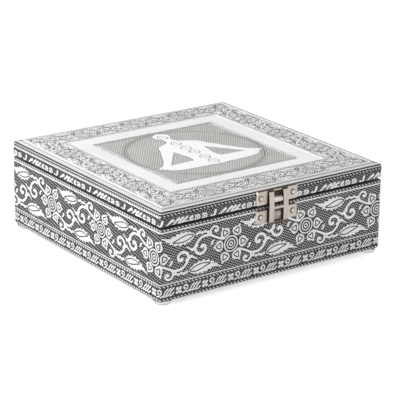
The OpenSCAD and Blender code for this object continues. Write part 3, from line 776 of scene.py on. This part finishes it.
def latch_plate_shell(half_w, low_z, high_z, hollows, nail_z, bump=None):
    """A pressed plate with soft shoulders, a groove round each nail and hollows, as one shell. Its tone carries
    painted highlight and painted shade.
    """
    cell = 0.2
    x = np.linspace(-1, 1, round(2 * half_w / cell) + 1)
    z = np.linspace(low_z, high_z, round((high_z - low_z) / cell) + 1)
    dz = np.clip(np.minimum(z - low_z, high_z - z), 0, PLATE_CORNER)
    width = half_w - PLATE_CORNER + np.sqrt(PLATE_CORNER**2 - (PLATE_CORNER - dz)**2)
    gx = width[:, None] * x[None, :]
    gz = np.broadcast_to(z[:, None], gx.shape)
    depth = box_depth(gx, gz, -half_w, low_z, half_w, high_z, PLATE_CORNER)
    s = np.clip(depth / SHOULDER, 0, 1)
    stand = LATCH_STAND - SHOULDER * (1 - np.sqrt(1 - (1 - s)**2))
    # painted highlight on the soft shoulders
    tone = FACE_TONE + 0.45 * (1 - ease(s * 1.1))
    # painted shade: the hollows, the lid plate's window and the notches behind the rails, are darkened
    for box, sink in hollows:
        inside = ease(box_depth(gx, gz, *box, 0.3) / 0.35 + 0.5)
        stand -= sink * inside
        tone *= 1 - inside
    # painted shade along the plate's top edge
    tone *= ease((high_z - gz) / 0.65)
    # painted shadow beside and under the hasp's rails
    tone *= 1 - 0.9 * ease((HASP_HALF + 0.9 - abs(gx)) / 0.4) * ease((abs(gx) - RAIL_IN + 0.8) / 0.4)
    # a sunk groove round each nail, set off to the left and up, and darkened as painted shade so it shows as a
    # crescent
    for nail_x in (-1, 1):
        away = np.hypot(gx - nail_x * (half_w - NAIL_INSET) + 0.35, gz - nail_z - 0.1)
        groove = ease((0.65 - abs(away - NAIL_HEAD_R - 0.1)) / 0.3)
        stand -= 0.3 * groove
        tone *= 1 - groove
    if bump:
        # painted shadow of the hasp inside the lower window, darkest at the top and on the left
        window = ease((RAIL_IN + 0.4 - abs(gx)) / 0.4) * ease((BAR_LOW - gz) / 0.6)
        corner = np.maximum(ease((gz - BAR_LOW + 3.0) / 1.5), ease((2.0 - RAIL_IN - gx) / 1.2))
        tone *= 1 - window * (0.25 + 0.6 * corner)
        at_x, at_z, r = bump
        rise = np.clip(1 - (abs(gx - at_x) + abs(gz - at_z)) / r, 0, 1)
        stand += 0.45 * rise
        # painted highlight on the diamond's slopes
        tone += 0.6 * rise * (1 - rise)
    front = np.stack([gx, FRONT_Y - stand, gz], -1)
    back = np.stack([gx[:, [-1, 0]], np.full((len(z), 2), FRONT_Y + 0.2), gz[:, [-1, 0]]], -1)
    points = np.concatenate([front, back], 1)
    tones = np.concatenate([tone, np.full((len(z), 2), 0.9)], 1)
    ends = []
    # painted shade on the plate's lower and upper end faces, darkest at the top
    for row, edge_tone in ((0, 0.35), (-1, 0.1)):
        flat = points[row].copy()
        flat[:, 1] = np.maximum(flat[:, 1], FRONT_Y - 0.1)
        ends.append((flat[None], np.full((1, flat.shape[0]), edge_tone)))
    points = np.concatenate([ends[0][0], points, ends[1][0]])
    tones = np.concatenate([ends[0][1], tones, ends[1][1]])
    return points, tones


def bent(path, thickness):
    """Closed outline of a bent sheet, from the middle line of its section in (y, z)."""
    p = np.array(path, float)
    along = np.gradient(p, axis=0)
    along /= np.linalg.norm(along, axis=1)[:, None]
    side = np.stack([-along[:, 1], along[:, 0]], 1) * thickness / 2
    return np.concatenate([p + side, (p - side)[::-1]])


def swept(outline, x0, x1, soft=0.2, tone=FACE_TONE, painted_shade_below=0.0):
    """A shell of one section swept along x, with softened ends. Its tone carries painted shade on faces that look
    down or lie low and on the cut ends, and painted highlight on the softened ends.
    """
    after, before = np.roll(outline, -1, 0), np.roll(outline, 1, 0)
    along = after - before
    along /= np.maximum(np.linalg.norm(along, axis=1), 1e-9)[:, None]
    normal = np.stack([along[:, 1], -along[:, 0]], 1)
    area = np.sum(outline[:, 0] * after[:, 1] - after[:, 0] * outline[:, 1])
    normal *= np.sign(area)
    stations, tones = [], []
    for x, inset in ((x0, soft), (x0 + 0.3 * soft, 0.3 * soft), (x0 + soft, 0), (x1 - soft, 0),
                     (x1 - 0.3 * soft, 0.3 * soft), (x1, soft)):
        yz = outline - normal * inset
        stations.append(np.stack([np.full(len(yz), x), yz[:, 0], yz[:, 1]], -1))
        # painted shade on faces that look down and on low parts; painted shade on the cut ends and painted highlight
        # on the softened ends
        shade = (tone - 0.45 * np.clip(-normal[:, 1], 0, 1)) * (0.2 + 0.8 * ease((yz[:, 1] - painted_shade_below) / 1.2))
        tones.append(shade * 0.25 if x in (x0, x1) else shade + (0.3 if inset else 0))
    return np.array(stations), np.array(tones)


def around(y, z, r, start, end, steps):
    """Points on an arc about (y, z): 0 degrees points back, 90 up and 180 out of the front."""
    t = np.radians(np.linspace(start, end, steps))
    return [(y + r * math.cos(k), z + r * math.sin(k)) for k in t]


def rounded_bar(y0, y1, z0, z1, r):
    """Closed outline of a rectangle in (y, z) with round corners."""
    corners = ((y1 - r, z0 + r, -90), (y1 - r, z1 - r, 0), (y0 + r, z1 - r, 90), (y0 + r, z0 + r, 180))
    return np.array([p for y, z, a in corners for p in around(y, z, r, a, a + 90, 4)])


def keep_as(piece, node, body):
    """Finishes a piece of the latch and puts it in its node's place."""
    finish_edges(piece)
    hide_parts(node)
    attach(piece, body)
    return piece


def hasp_piece():
    """Two rails that are rolled round the pin below, lean in at the top, and are joined by a bar."""
    face = hasp_low[1] + LATCH_SHEET / 2
    top = hasp_high[2]
    roll_r = KNUCKLE_R - LATCH_SHEET / 2
    path = around(PIN_Y, PIN_Z, roll_r, 480, 190, 22)
    path += [(face, PIN_Z + 1.6), (face, BAR_LOW - 1), (face, BAR_HIGH + 1.5), (face + 0.1, top - 6.4),
             (face + 0.35, top - 3.6), (face + 0.7, top - 1.5), (face + 1.05, top - 0.35)]
    rail = bent(path, LATCH_SHEET)
    bar = rounded_bar(hasp_low[1] + 0.02, hasp_low[1] + 0.95, BAR_LOW, BAR_HIGH, 0.3)
    shells = [swept(rail, -HASP_HALF, -RAIL_IN, painted_shade_below=PIN_Z + 0.6),
              swept(rail, RAIL_IN, HASP_HALF, painted_shade_below=PIN_Z + 0.6),
              swept(bar, -RAIL_IN - 0.3, RAIL_IN + 0.3, 0.05)]
    return keep_as(loft("pressed_hasp", *shells), "hasp", "hasp")


def lower_plate_piece():
    """The base's plate, with a notch for each rail and a tab that is rolled round the pin between them."""
    high = box_mm("lower_latch_plate")[1]
    foot = PIN_Z + 0.3
    rail_mid, notch_half = (HASP_HALF + RAIL_IN) / 2, RAIL_W / 2 + 0.3
    notch_top = PIN_Z + KNUCKLE_R + 0.35
    hollows = [((way * rail_mid - notch_half, foot - 2, way * rail_mid + notch_half, notch_top), 0.9)
               for way in (-1, 1)]
    plate_shell = latch_plate_shell(high[0], foot, high[2], hollows, (foot + high[2]) / 2, STAMP)
    path = around(PIN_Y, PIN_Z, KNUCKLE_R - LATCH_SHEET / 2, -210, 70, 22)
    path += [(PIN_Y + 0.9, PIN_Z + 0.95), (FRONT_Y - 0.9, PIN_Z + 0.95)]
    # the tab between the rails is darkened as painted shade
    tab = swept(bent(path, LATCH_SHEET), -RAIL_IN + 0.15, RAIL_IN - 0.15, tone=0.15)
    return keep_as(loft("pressed_lower_plate", plate_shell, tab), "lower_latch_plate", "base")


def upper_plate_piece():
    """The lid's plate, with a window from which its rolled tongue stands out."""
    low, high = box_mm("upper_latch_plate")
    roll_z = low[2] + TONGUE_R
    tongue_half = RAIL_IN - 0.35
    window = ((-tongue_half - 0.2, roll_z + 0.6, tongue_half + 0.2, high[2] - 1.5), LATCH_STAND - 0.1)
    plate_shell = latch_plate_shell(high[0], low[2], high[2], [window], (low[2] + high[2]) / 2)
    roll_y = FRONT_Y - LATCH_STAND + LATCH_SHEET / 2
    path = [(roll_y + 0.9, roll_z + TONGUE_R - 0.2)]
    path += around(roll_y, roll_z, TONGUE_R - LATCH_SHEET / 2, 92, 275, 22)
    tongue = swept(bent(path, LATCH_SHEET), -tongue_half, tongue_half, tone=0.75)
    return keep_as(loft("pressed_upper_plate", plate_shell, tongue), "upper_latch_plate", "lid")


def nail_shell(x, z):
    """A nail with a low domed head, driven in along Y."""
    shank, length, face = 0.5, 6.0, FRONT_Y - LATCH_STAND
    outline = [(0.02, length), (0.3, length - 0.7), (shank, length - 1.3), (shank, 0.05), (NAIL_HEAD_R, 0.05),
               (NAIL_HEAD_R, -0.1), (1.36, -0.28), (1.05, -0.42), (0.7, -0.5), (0.35, -0.54), (0.02, -0.55)]
    t = np.linspace(0, 2 * math.pi, NAIL_FACETS, endpoint=False)
    points = np.array([np.stack([x + r * np.cos(t), np.full(NAIL_FACETS, face + y), z + r * np.sin(t)], -1)
                       for r, y in outline])
    return points, np.full((len(outline), NAIL_FACETS), FACE_TONE + 0.1)


def latch_nails(name, node, body):
    """The two nails of a latch plate."""
    low, high = box_mm(node)
    x, z = high[0] - NAIL_HEAD_R, (low[2] + high[2]) / 2
    return keep_as(loft(name, nail_shell(-x, z), nail_shell(x, z)), node, body)


latch = [
    hasp_piece(),
    lower_plate_piece(),
    upper_plate_piece(),
    latch_nails("lower_nails", "lower_latch_nails", "base"),
    latch_nails("upper_nails", "upper_latch_nails", "lid"),
]


# ---- node trees ----

SOCKETS = {"value": "NodeSocketFloat", "colour": "NodeSocketColor", "vector": "NodeSocketVector",
           "geometry": "NodeSocketGeometry", "material": "NodeSocketMaterial"}


def group_tree(name, inputs, outputs, family="ShaderNodeTree"):
    """A node group, the sockets that bring its inputs in, and its output node.

    An input is given as (name, kind, default) and an output as (name, kind).
    """
    tree = bpy.data.node_groups.new(name, family)
    for label, kind, default in inputs:
        socket = tree.interface.new_socket(label, in_out="INPUT", socket_type=SOCKETS[kind])
        if default is not None:
            socket.default_value = default
    for label, kind in outputs:
        tree.interface.new_socket(label, in_out="OUTPUT", socket_type=SOCKETS[kind])
    return tree, tree.nodes.new("NodeGroupInput").outputs, tree.nodes.new("NodeGroupOutput")


def set_inputs(tree, node, inputs):
    """Sets a node's inputs, found by name or number, to values, or links them where an output is given."""
    for key, value in inputs.items():
        if isinstance(value, bpy.types.NodeSocket):
            tree.links.new(value, node.inputs[key])
        else:
            node.inputs[key].default_value = value


def add_node(tree, kind, inputs=None, **settings):
    """Adds a node, with its settings before its inputs, and returns its outputs."""
    node = tree.nodes.new(kind)
    for label, value in settings.items():
        setattr(node, label, value)
    set_inputs(tree, node, inputs or {})
    return node.outputs


# ---- ropes: beads that follow a rounded square ----

def rope_tree():
    """Leaning beads spaced along a rounded square, as one mesh."""
    sizes = (("Half side", 0.1), ("Corner radius", 0.002), ("Height", 0.0), ("Bead pitch", 0.003),
             ("Bead length", 0.0026), ("Bead width", 0.001), ("Bead rise", 0.0009), ("Lean", 0.5), ("Twist", 0.0))
    tree, given, out = group_tree(
        "rope_of_beads",
        [("Geometry", "geometry", None), *((label, "value", default) for label, default in sizes),
         ("Centre", "vector", None), ("Metal", "material", None)],
        [("Geometry", "geometry")], "GeometryNodeTree")

    def add(kind, inputs=None, **settings):
        return add_node(tree, kind, inputs, **settings)

    # points along the square, each with the turn of its bead
    side = add("ShaderNodeMath", {0: given["Half side"], 1: 2.0}, operation="MULTIPLY")[0]
    square = add("GeometryNodeCurvePrimitiveQuadrilateral", {"Width": side, "Height": side})[0]
    rounded = add("GeometryNodeFilletCurve", {"Curve": square, "Count": 8, "Radius": given["Corner radius"]},
                  mode="POLY")[0]
    points = add("GeometryNodeCurveToPoints", {"Curve": rounded, "Length": given["Bead pitch"]}, mode="LENGTH")
    along = add("FunctionNodeAlignRotationToVector", {"Vector": points["Tangent"]}, axis="X", pivot_axis="Z")[0]
    angles = add("ShaderNodeCombineXYZ", {"Y": given["Lean"], "Z": given["Twist"]})[0]
    lean = add("FunctionNodeEulerToRotation", {0: angles})[0]
    turn = add("FunctionNodeRotateRotation", {"Rotation": along, "Rotate By": lean}, rotation_space="LOCAL")[0]

    # one bead, bright in the middle and dark at its ends
    bead = add("GeometryNodeMeshUVSphere", {"Segments": 8, "Rings": 5, "Radius": 0.5})[0]
    place = add("ShaderNodeSeparateXYZ", {0: add("GeometryNodeInputPosition")[0]})
    from_middle = add("ShaderNodeMath", {0: place["X"]}, operation="ABSOLUTE")[0]
    tone = add("ShaderNodeMapRange", {"Value": from_middle, "From Min": 0.5, "From Max": 0.15})["Result"]
    toned = add("GeometryNodeStoreNamedAttribute", {"Geometry": bead, "Name": "relief", "Value": tone})[0]

    # the beads in place
    size = add("ShaderNodeCombineXYZ", {"X": given["Bead length"], "Y": given["Bead rise"], "Z": given["Bead width"]})
    beads = add("GeometryNodeInstanceOnPoints",
                {"Points": points[0], "Instance": toned, "Rotation": turn, "Scale": size[0]})[0]
    lift = add("ShaderNodeCombineXYZ", {"Z": given["Height"]})[0]
    offset = add("ShaderNodeVectorMath", {0: lift, 1: given["Centre"]}, operation="ADD")[0]
    moved = add("GeometryNodeTransform", {"Geometry": beads, "Translation": offset})[0]
    real = add("GeometryNodeRealizeInstances", {0: moved})[0]
    shade = add("GeometryNodeSetShadeSmooth", {0: real})[0]
    metal = add("GeometryNodeSetMaterial", {"Geometry": shade, "Material": given["Metal"]})[0]
    tree.links.new(metal, out.inputs[0])
    return tree


def grown(name, tree, values):
    """The mesh that a node tree grows, with its inputs set by name."""
    holder = bpy.data.objects.new(name + "_seed", bpy.data.meshes.new(name + "_seed"))
    bpy.context.scene.collection.objects.link(holder)
    change = holder.modifiers.new("grow", "NODES")
    change.node_group = tree
    for item in tree.interface.items_tree:
        if item.item_type == "SOCKET" and item.in_out == "INPUT" and item.name in values:
            change[item.identifier] = values[item.name]
    bpy.context.view_layer.update()
    evaluated = holder.evaluated_get(bpy.context.evaluated_depsgraph_get())
    mesh = bpy.data.meshes.new_from_object(evaluated)
    mesh.name = name
    bpy.data.objects.remove(holder)
    obj = bpy.data.objects.new(name, mesh)
    bpy.context.scene.collection.objects.link(obj)
    return obj


ROPE = rope_tree()
BEAD_PITCH = 3.1
BEAD_RISE = 0.9


def rope(name, body, half, corner, z, metal, width=1.15, length=3.3, pitch=BEAD_PITCH, lean=0.38, twist=0.0,
         rise=BEAD_RISE):
    """A rope of beads whose middles run along a rounded square at height z."""
    perimeter = 8 * (half - corner) + 2 * math.pi * corner
    even = perimeter / round(perimeter / pitch)
    piece = grown(name, ROPE, {
        "Half side": half * MM, "Corner radius": corner * MM, "Height": z * MM, "Bead pitch": even * MM,
        "Bead length": length * MM, "Bead width": width * MM, "Bead rise": rise * MM, "Lean": lean,
        "Twist": twist, "Centre": (0.0, CENTRE_Y * MM, 0.0), "Metal": metal})
    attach(piece, body)
    return piece


# ---- materials ----

def new_material(name):
    """A material that has only a surface, with its node tree and the surface's node."""
    material = bpy.data.materials.new(name)
    material.use_nodes = True
    tree = material.node_tree
    tree.nodes.clear()
    out = tree.nodes.new("ShaderNodeOutputMaterial")
    surface = tree.nodes.new("ShaderNodeBsdfPrincipled")
    tree.links.new(surface.outputs[0], out.inputs["Surface"])
    return material, tree, surface


def use_group(tree, group, **values):
    """Outputs of a group's node. A _ in an input's label stands for a space."""
    inputs = {label.replace("_", " "): value for label, value in values.items()}
    return add_node(tree, "ShaderNodeGroup", inputs, node_tree=group)


def antique_group():
    """Dark oxide in the ground, bare metal on the crests, with patchy rubbing between."""
    tree, given, out = group_tree(
        "antique_tone",
        [("Relief", "value", 1.0), ("Ground", "colour", (0.05, 0.05, 0.05, 1)),
         ("Crest", "colour", (0.8, 0.8, 0.8, 1)), ("Patch scale", "value", 60.0), ("Rubbing", "value", 0.15),
         ("Low", "value", 0.1), ("High", "value", 0.8)],
        [("Colour", "colour"), ("Roughness", "value")])
    place = add_node(tree, "ShaderNodeTexCoord")["Object"]
    noise = add_node(tree, "ShaderNodeTexNoise", {"Vector": place, "Scale": given["Patch scale"], "Detail": 4})["Fac"]
    centred = add_node(tree, "ShaderNodeMath", {0: noise, 1: 0.5}, operation="SUBTRACT")[0]
    patchy = add_node(tree, "ShaderNodeMath", {0: centred, 1: given["Rubbing"], 2: given["Relief"]},
                      operation="MULTIPLY_ADD")[0]
    rubbed = add_node(tree, "ShaderNodeMapRange", {"Value": patchy, "From Min": given["Low"],
                                                   "From Max": given["High"]}, interpolation_type="SMOOTHSTEP")
    mix = add_node(tree, "ShaderNodeMix", {"Factor": rubbed["Result"], "A": given["Ground"], "B": given["Crest"]},
                   data_type="RGBA")
    rough = add_node(tree, "ShaderNodeMapRange", {"Value": rubbed["Result"], "To Min": 0.6, "To Max": 0.38})
    set_inputs(tree, out, {"Colour": mix["Result"], "Roughness": rough["Result"]})
    return tree


def grain_group():
    """Fine dents and handling marks, as a height for a bump."""
    tree, given, out = group_tree("hand_grain", [("Scale", "value", 900.0), ("Stretch", "vector", (1, 1, 1))],
                                  [("Height", "value")])
    place = add_node(tree, "ShaderNodeTexCoord")["Object"]
    stretched = add_node(tree, "ShaderNodeVectorMath", {0: place, 1: given["Stretch"]}, operation="MULTIPLY")[0]
    fine = add_node(tree, "ShaderNodeTexNoise", {"Vector": stretched, "Scale": given["Scale"], "Detail": 3})
    set_inputs(tree, out, {"Height": fine["Fac"]})
    return tree


ANTIQUE = antique_group()
GRAIN = grain_group()


def add_grain(tree, surface, scale, strength, distance, stretch=(1, 1, 1)):
    """Fine dents on a surface."""
    height = use_group(tree, GRAIN, Scale=scale, Stretch=stretch)["Height"]
    bump = add_node(tree, "ShaderNodeBump", {"Height": height, "Strength": strength, "Distance": distance})
    set_inputs(tree, surface, {"Normal": bump[0]})


def antique_metal(name, ground, crest, low, high, metallic=0.45):
    """Embossed white metal with oxide in its ground."""
    material, tree, surface = new_material(name)
    relief = add_node(tree, "ShaderNodeAttribute", attribute_name="relief")["Fac"]
    tone = use_group(tree, ANTIQUE, Relief=relief, Ground=(*ground, 1), Crest=(*crest, 1), Low=low, High=high)
    set_inputs(tree, surface, {"Base Color": tone["Colour"], "Roughness": tone["Roughness"], "Metallic": metallic})
    add_grain(tree, surface, 1200, 0.15, 0.00005)
    return material


def mottled(name, dark, pale, rubbing, patch_scale, grain, inputs, relief=0.5, low=0.1):
    """A material that wanders from dark to pale; grain is what add_grain takes, inputs are the surface's own."""
    material, tree, surface = new_material(name)
    tone = use_group(tree, ANTIQUE, Ground=(*dark, 1), Crest=(*pale, 1), Relief=relief, Low=low, High=0.9,
                     Rubbing=rubbing, Patch_scale=patch_scale)
    set_inputs(tree, surface, {"Base Color": tone["Colour"], **inputs})
    add_grain(tree, surface, *grain)
    return material


def plain_metal(name, colour, roughness, metallic=1.0, scale=900, strength=0.25):
    """Bare sheet metal with slight clouding."""
    shade = tuple(0.86 * c for c in colour)
    return mottled(name, shade, colour, 0.9, scale / 4, (scale, strength, 0.0001),
                   {"Metallic": metallic, "Roughness": roughness}, relief=0.6, low=0.2)


CLAD_METAL = antique_metal("antiqued_cladding", (0.025, 0.025, 0.026), (0.80, 0.80, 0.79), 0.15, 0.7)
ROPE_METAL = antique_metal("antiqued_rope", (0.035, 0.035, 0.035), (0.76, 0.76, 0.75), 0.1, 0.9)
# the lid top's metals have paler grounds than the sides: painted light for the top, which faces the lights
TOP_METAL = antique_metal("antiqued_border", (0.15, 0.15, 0.147), (0.93, 0.93, 0.92), 0.0, 0.85)
TOP_ROPE = antique_metal("antiqued_border_rope", (0.34, 0.34, 0.34), (0.9, 0.9, 0.89), 0.0, 0.8)
PLATE_METAL = antique_metal("antiqued_plate", (0.21, 0.20, 0.185), (0.95, 0.95, 0.95), -0.08, 0.85)
BRIGHT_METAL = plain_metal("bright_bevel", (0.95, 0.95, 0.95), 0.35, metallic=0.3, scale=60, strength=0.05)
LATCH_METAL = antique_metal("nickelled_latch", (0.07, 0.045, 0.028), (0.88, 0.81, 0.73), 0.0, 1.0, metallic=0.6)
PIN_METAL = plain_metal("latch_pin", (0.42, 0.34, 0.27), 0.36)
HINGE_METAL = plain_metal("plated_hinge", (0.72, 0.66, 0.58), 0.38)
BOARD = mottled("fibre_board", (0.24, 0.15, 0.08), (0.44, 0.30, 0.18), 1.2, 900.0, (2500, 0.3, 0.0002, (1, 1, 4)),
                {"Roughness": 0.8})
VELVET = mottled("red_velvet", (0.11, 0.004, 0.01), (0.26, 0.012, 0.03), 1.0, 90.0, (4000, 0.5, 0.0003),
                 {"Roughness": 0.9, "Sheen Weight": 0.8, "Sheen Roughness": 0.35, "Sheen Tint": (0.9, 0.25, 0.3, 1)})
FOOT_PLASTIC = mottled("milky_plastic", (0.80, 0.80, 0.79), (0.90, 0.90, 0.89), 0.8, 300.0, (500, 0.1, 0.0001),
                       {"Roughness": 0.22, "Transmission Weight": 0.6, "IOR": 1.46})


def dress(obj, material):
    """Gives an object one material in place of any it has."""
    obj.data.materials.clear()
    obj.data.materials.append(material)


for piece in cladding + rims:
    dress(piece, CLAD_METAL)
for piece in borders:
    dress(piece, TOP_METAL)
dress(plate, PLATE_METAL)
for piece in latch:
    dress(piece, LATCH_METAL)

MATERIAL_OF_SLOT = {
    "board": BOARD, "embossed_metal": CLAD_METAL, "bright_metal": BRIGHT_METAL, "velvet": VELVET,
    "clear_foot": FOOT_PLASTIC, "latch_nickel": PIN_METAL, "hinge_steel": HINGE_METAL,
}
for entry in frame["record"]["subparts"]:
    node = frame["nodes"][entry["node"]]
    dress(node, MATERIAL_OF_SLOT[entry["material_slot"]])

BEAD_INSET = BEAD_RISE / 2
for name, v in (("base_low_rope", 1.6), ("base_middle_rope", 11.3), ("base_high_rope", 53.6)):
    rope(name, "base", HALF - BEAD_INSET, CORNER_R, base_low[2] + v, ROPE_METAL, width=1.0)
rope("lid_rim_rope", "lid", HALF - BEAD_INSET, CORNER_R, lid_low[2] + 7.95, ROPE_METAL, width=0.85)
for name, inset in (("border_outer_rope", 1.4), ("border_inner_rope", BORDER_W - 1.6)):
    rope(name, "lid", BORDER_OUT - inset, 0.3, strip_high[2] - 0.35, TOP_ROPE, width=0.7, length=2.2, pitch=2.3,
         lean=0.0, twist=0.5, rise=1.1)


# ---- camera, light and floor ----

# where the camera stands, in degrees and millimetres; it was fitted to the edges of the box
VIEW_AZIMUTH = 35.87
VIEW_ELEVATION = 19.08
VIEW_ROLL = 0.80
VIEW_DISTANCE = 1439.3
VIEW_RIGHT = 4.87
VIEW_UP = 26.8
FOCAL_PIXELS = 1860.1
FRAME_PIXELS = 400
SENSOR = 36

WHITE = (1, 1, 1, 1)
WORLD_LEVEL = 0.39              # even light from all round
FLOOR_GLOW = 0.62               # keeps the floor white to the camera
FLOOR_HALF = 6000.0
LIGHTS = (                      # name, place and size in metres, power
    ("key", (-0.75, 0.15, 0.65), 0.6, 6.6),
    ("fill", (0.2, -1.2, 1.0), 0.9, 2),
    ("back", (0.1, 1.3, 0.9), 1.0, 3),
)


def add_camera():
    """The camera looks at the middle of the base's lower edge, moved to the side and up as in the photo."""
    azimuth, elevation, roll = (math.radians(v) for v in (VIEW_AZIMUTH, VIEW_ELEVATION, VIEW_ROLL))
    forward = Vector((math.sin(azimuth) * math.cos(elevation), math.cos(azimuth) * math.cos(elevation),
                      -math.sin(elevation)))
    level = forward.cross(Vector((0, 0, 1))).normalized()
    upward = level.cross(forward)
    right = level * math.cos(roll) + upward * math.sin(roll)
    up = upward * math.cos(roll) - level * math.sin(roll)
    target = Vector((0, CENTRE_Y, base_low[2]))
    place = target - forward * VIEW_DISTANCE + right * VIEW_RIGHT + up * VIEW_UP
    data = bpy.data.cameras.new("camera")
    data.sensor_width = SENSOR
    data.lens = SENSOR * FOCAL_PIXELS / FRAME_PIXELS
    data.clip_end = 20
    camera = bpy.data.objects.new("camera", data)
    turn = Matrix((right, up, -forward)).transposed()
    camera.matrix_world = Matrix.Translation(place * MM) @ turn.to_4x4()
    bpy.context.scene.collection.objects.link(camera)
    bpy.context.scene.camera = camera


def add_light(name, place, size, power):
    """A square lamp that faces the box."""
    data = bpy.data.lights.new(name, "AREA")
    data.size = size
    data.energy = power
    lamp = bpy.data.objects.new(name, data)
    lamp.location = place
    lamp.rotation_euler = (-Vector(place)).to_track_quat("-Z", "Y").to_euler()
    bpy.context.scene.collection.objects.link(lamp)


def shown_background(tree):
    """1 for rays that should see the white background: from the camera, off metal and through plastic."""
    rays = add_node(tree, "ShaderNodeLightPath")
    shown = rays["Is Camera Ray"]
    for label in ("Is Glossy Ray", "Is Transmission Ray"):
        shown = add_node(tree, "ShaderNodeMath", {0: shown, 1: rays[label]}, operation="MAXIMUM")[0]
    return shown


def add_world():
    """A world that is seen as white and lights the box more softly."""
    world = bpy.data.worlds.new("studio")
    bpy.context.scene.world = world
    world.use_nodes = True
    tree = world.node_tree
    tree.nodes.clear()
    lit, seen = (add_node(tree, "ShaderNodeBackground", {"Color": WHITE, "Strength": strength})[0]
                 for strength in (WORLD_LEVEL, 1.0))
    mix = add_node(tree, "ShaderNodeMixShader", {0: shown_background(tree), 1: lit, 2: seen})[0]
    add_node(tree, "ShaderNodeOutputWorld", {"Surface": mix})


def add_floor():
    """A pale floor that looks white but keeps the box's shadow."""
    corners = [(x * FLOOR_HALF, y * FLOOR_HALF, 0) for x, y in ((-1, -1), (1, -1), (1, 1), (-1, 1))]
    floor = new_mesh("floor", corners, [np.array([[0, 1, 2, 3]])], smooth=False)
    material, tree, surface = new_material("floor_paper")
    glow = add_node(tree, "ShaderNodeMath", {0: shown_background(tree), 1: FLOOR_GLOW}, operation="MULTIPLY")[0]
    set_inputs(tree, surface, {"Base Color": (0.9, 0.9, 0.9, 1), "Roughness": 0.9, "Specular IOR Level": 0.1,
                               "Emission Color": WHITE, "Emission Strength": glow})
    dress(floor, material)


add_camera()
add_world()
for light in LIGHTS:
    add_light(*light)
add_floor()

scene = bpy.context.scene
scene.view_settings.view_transform = "Standard"
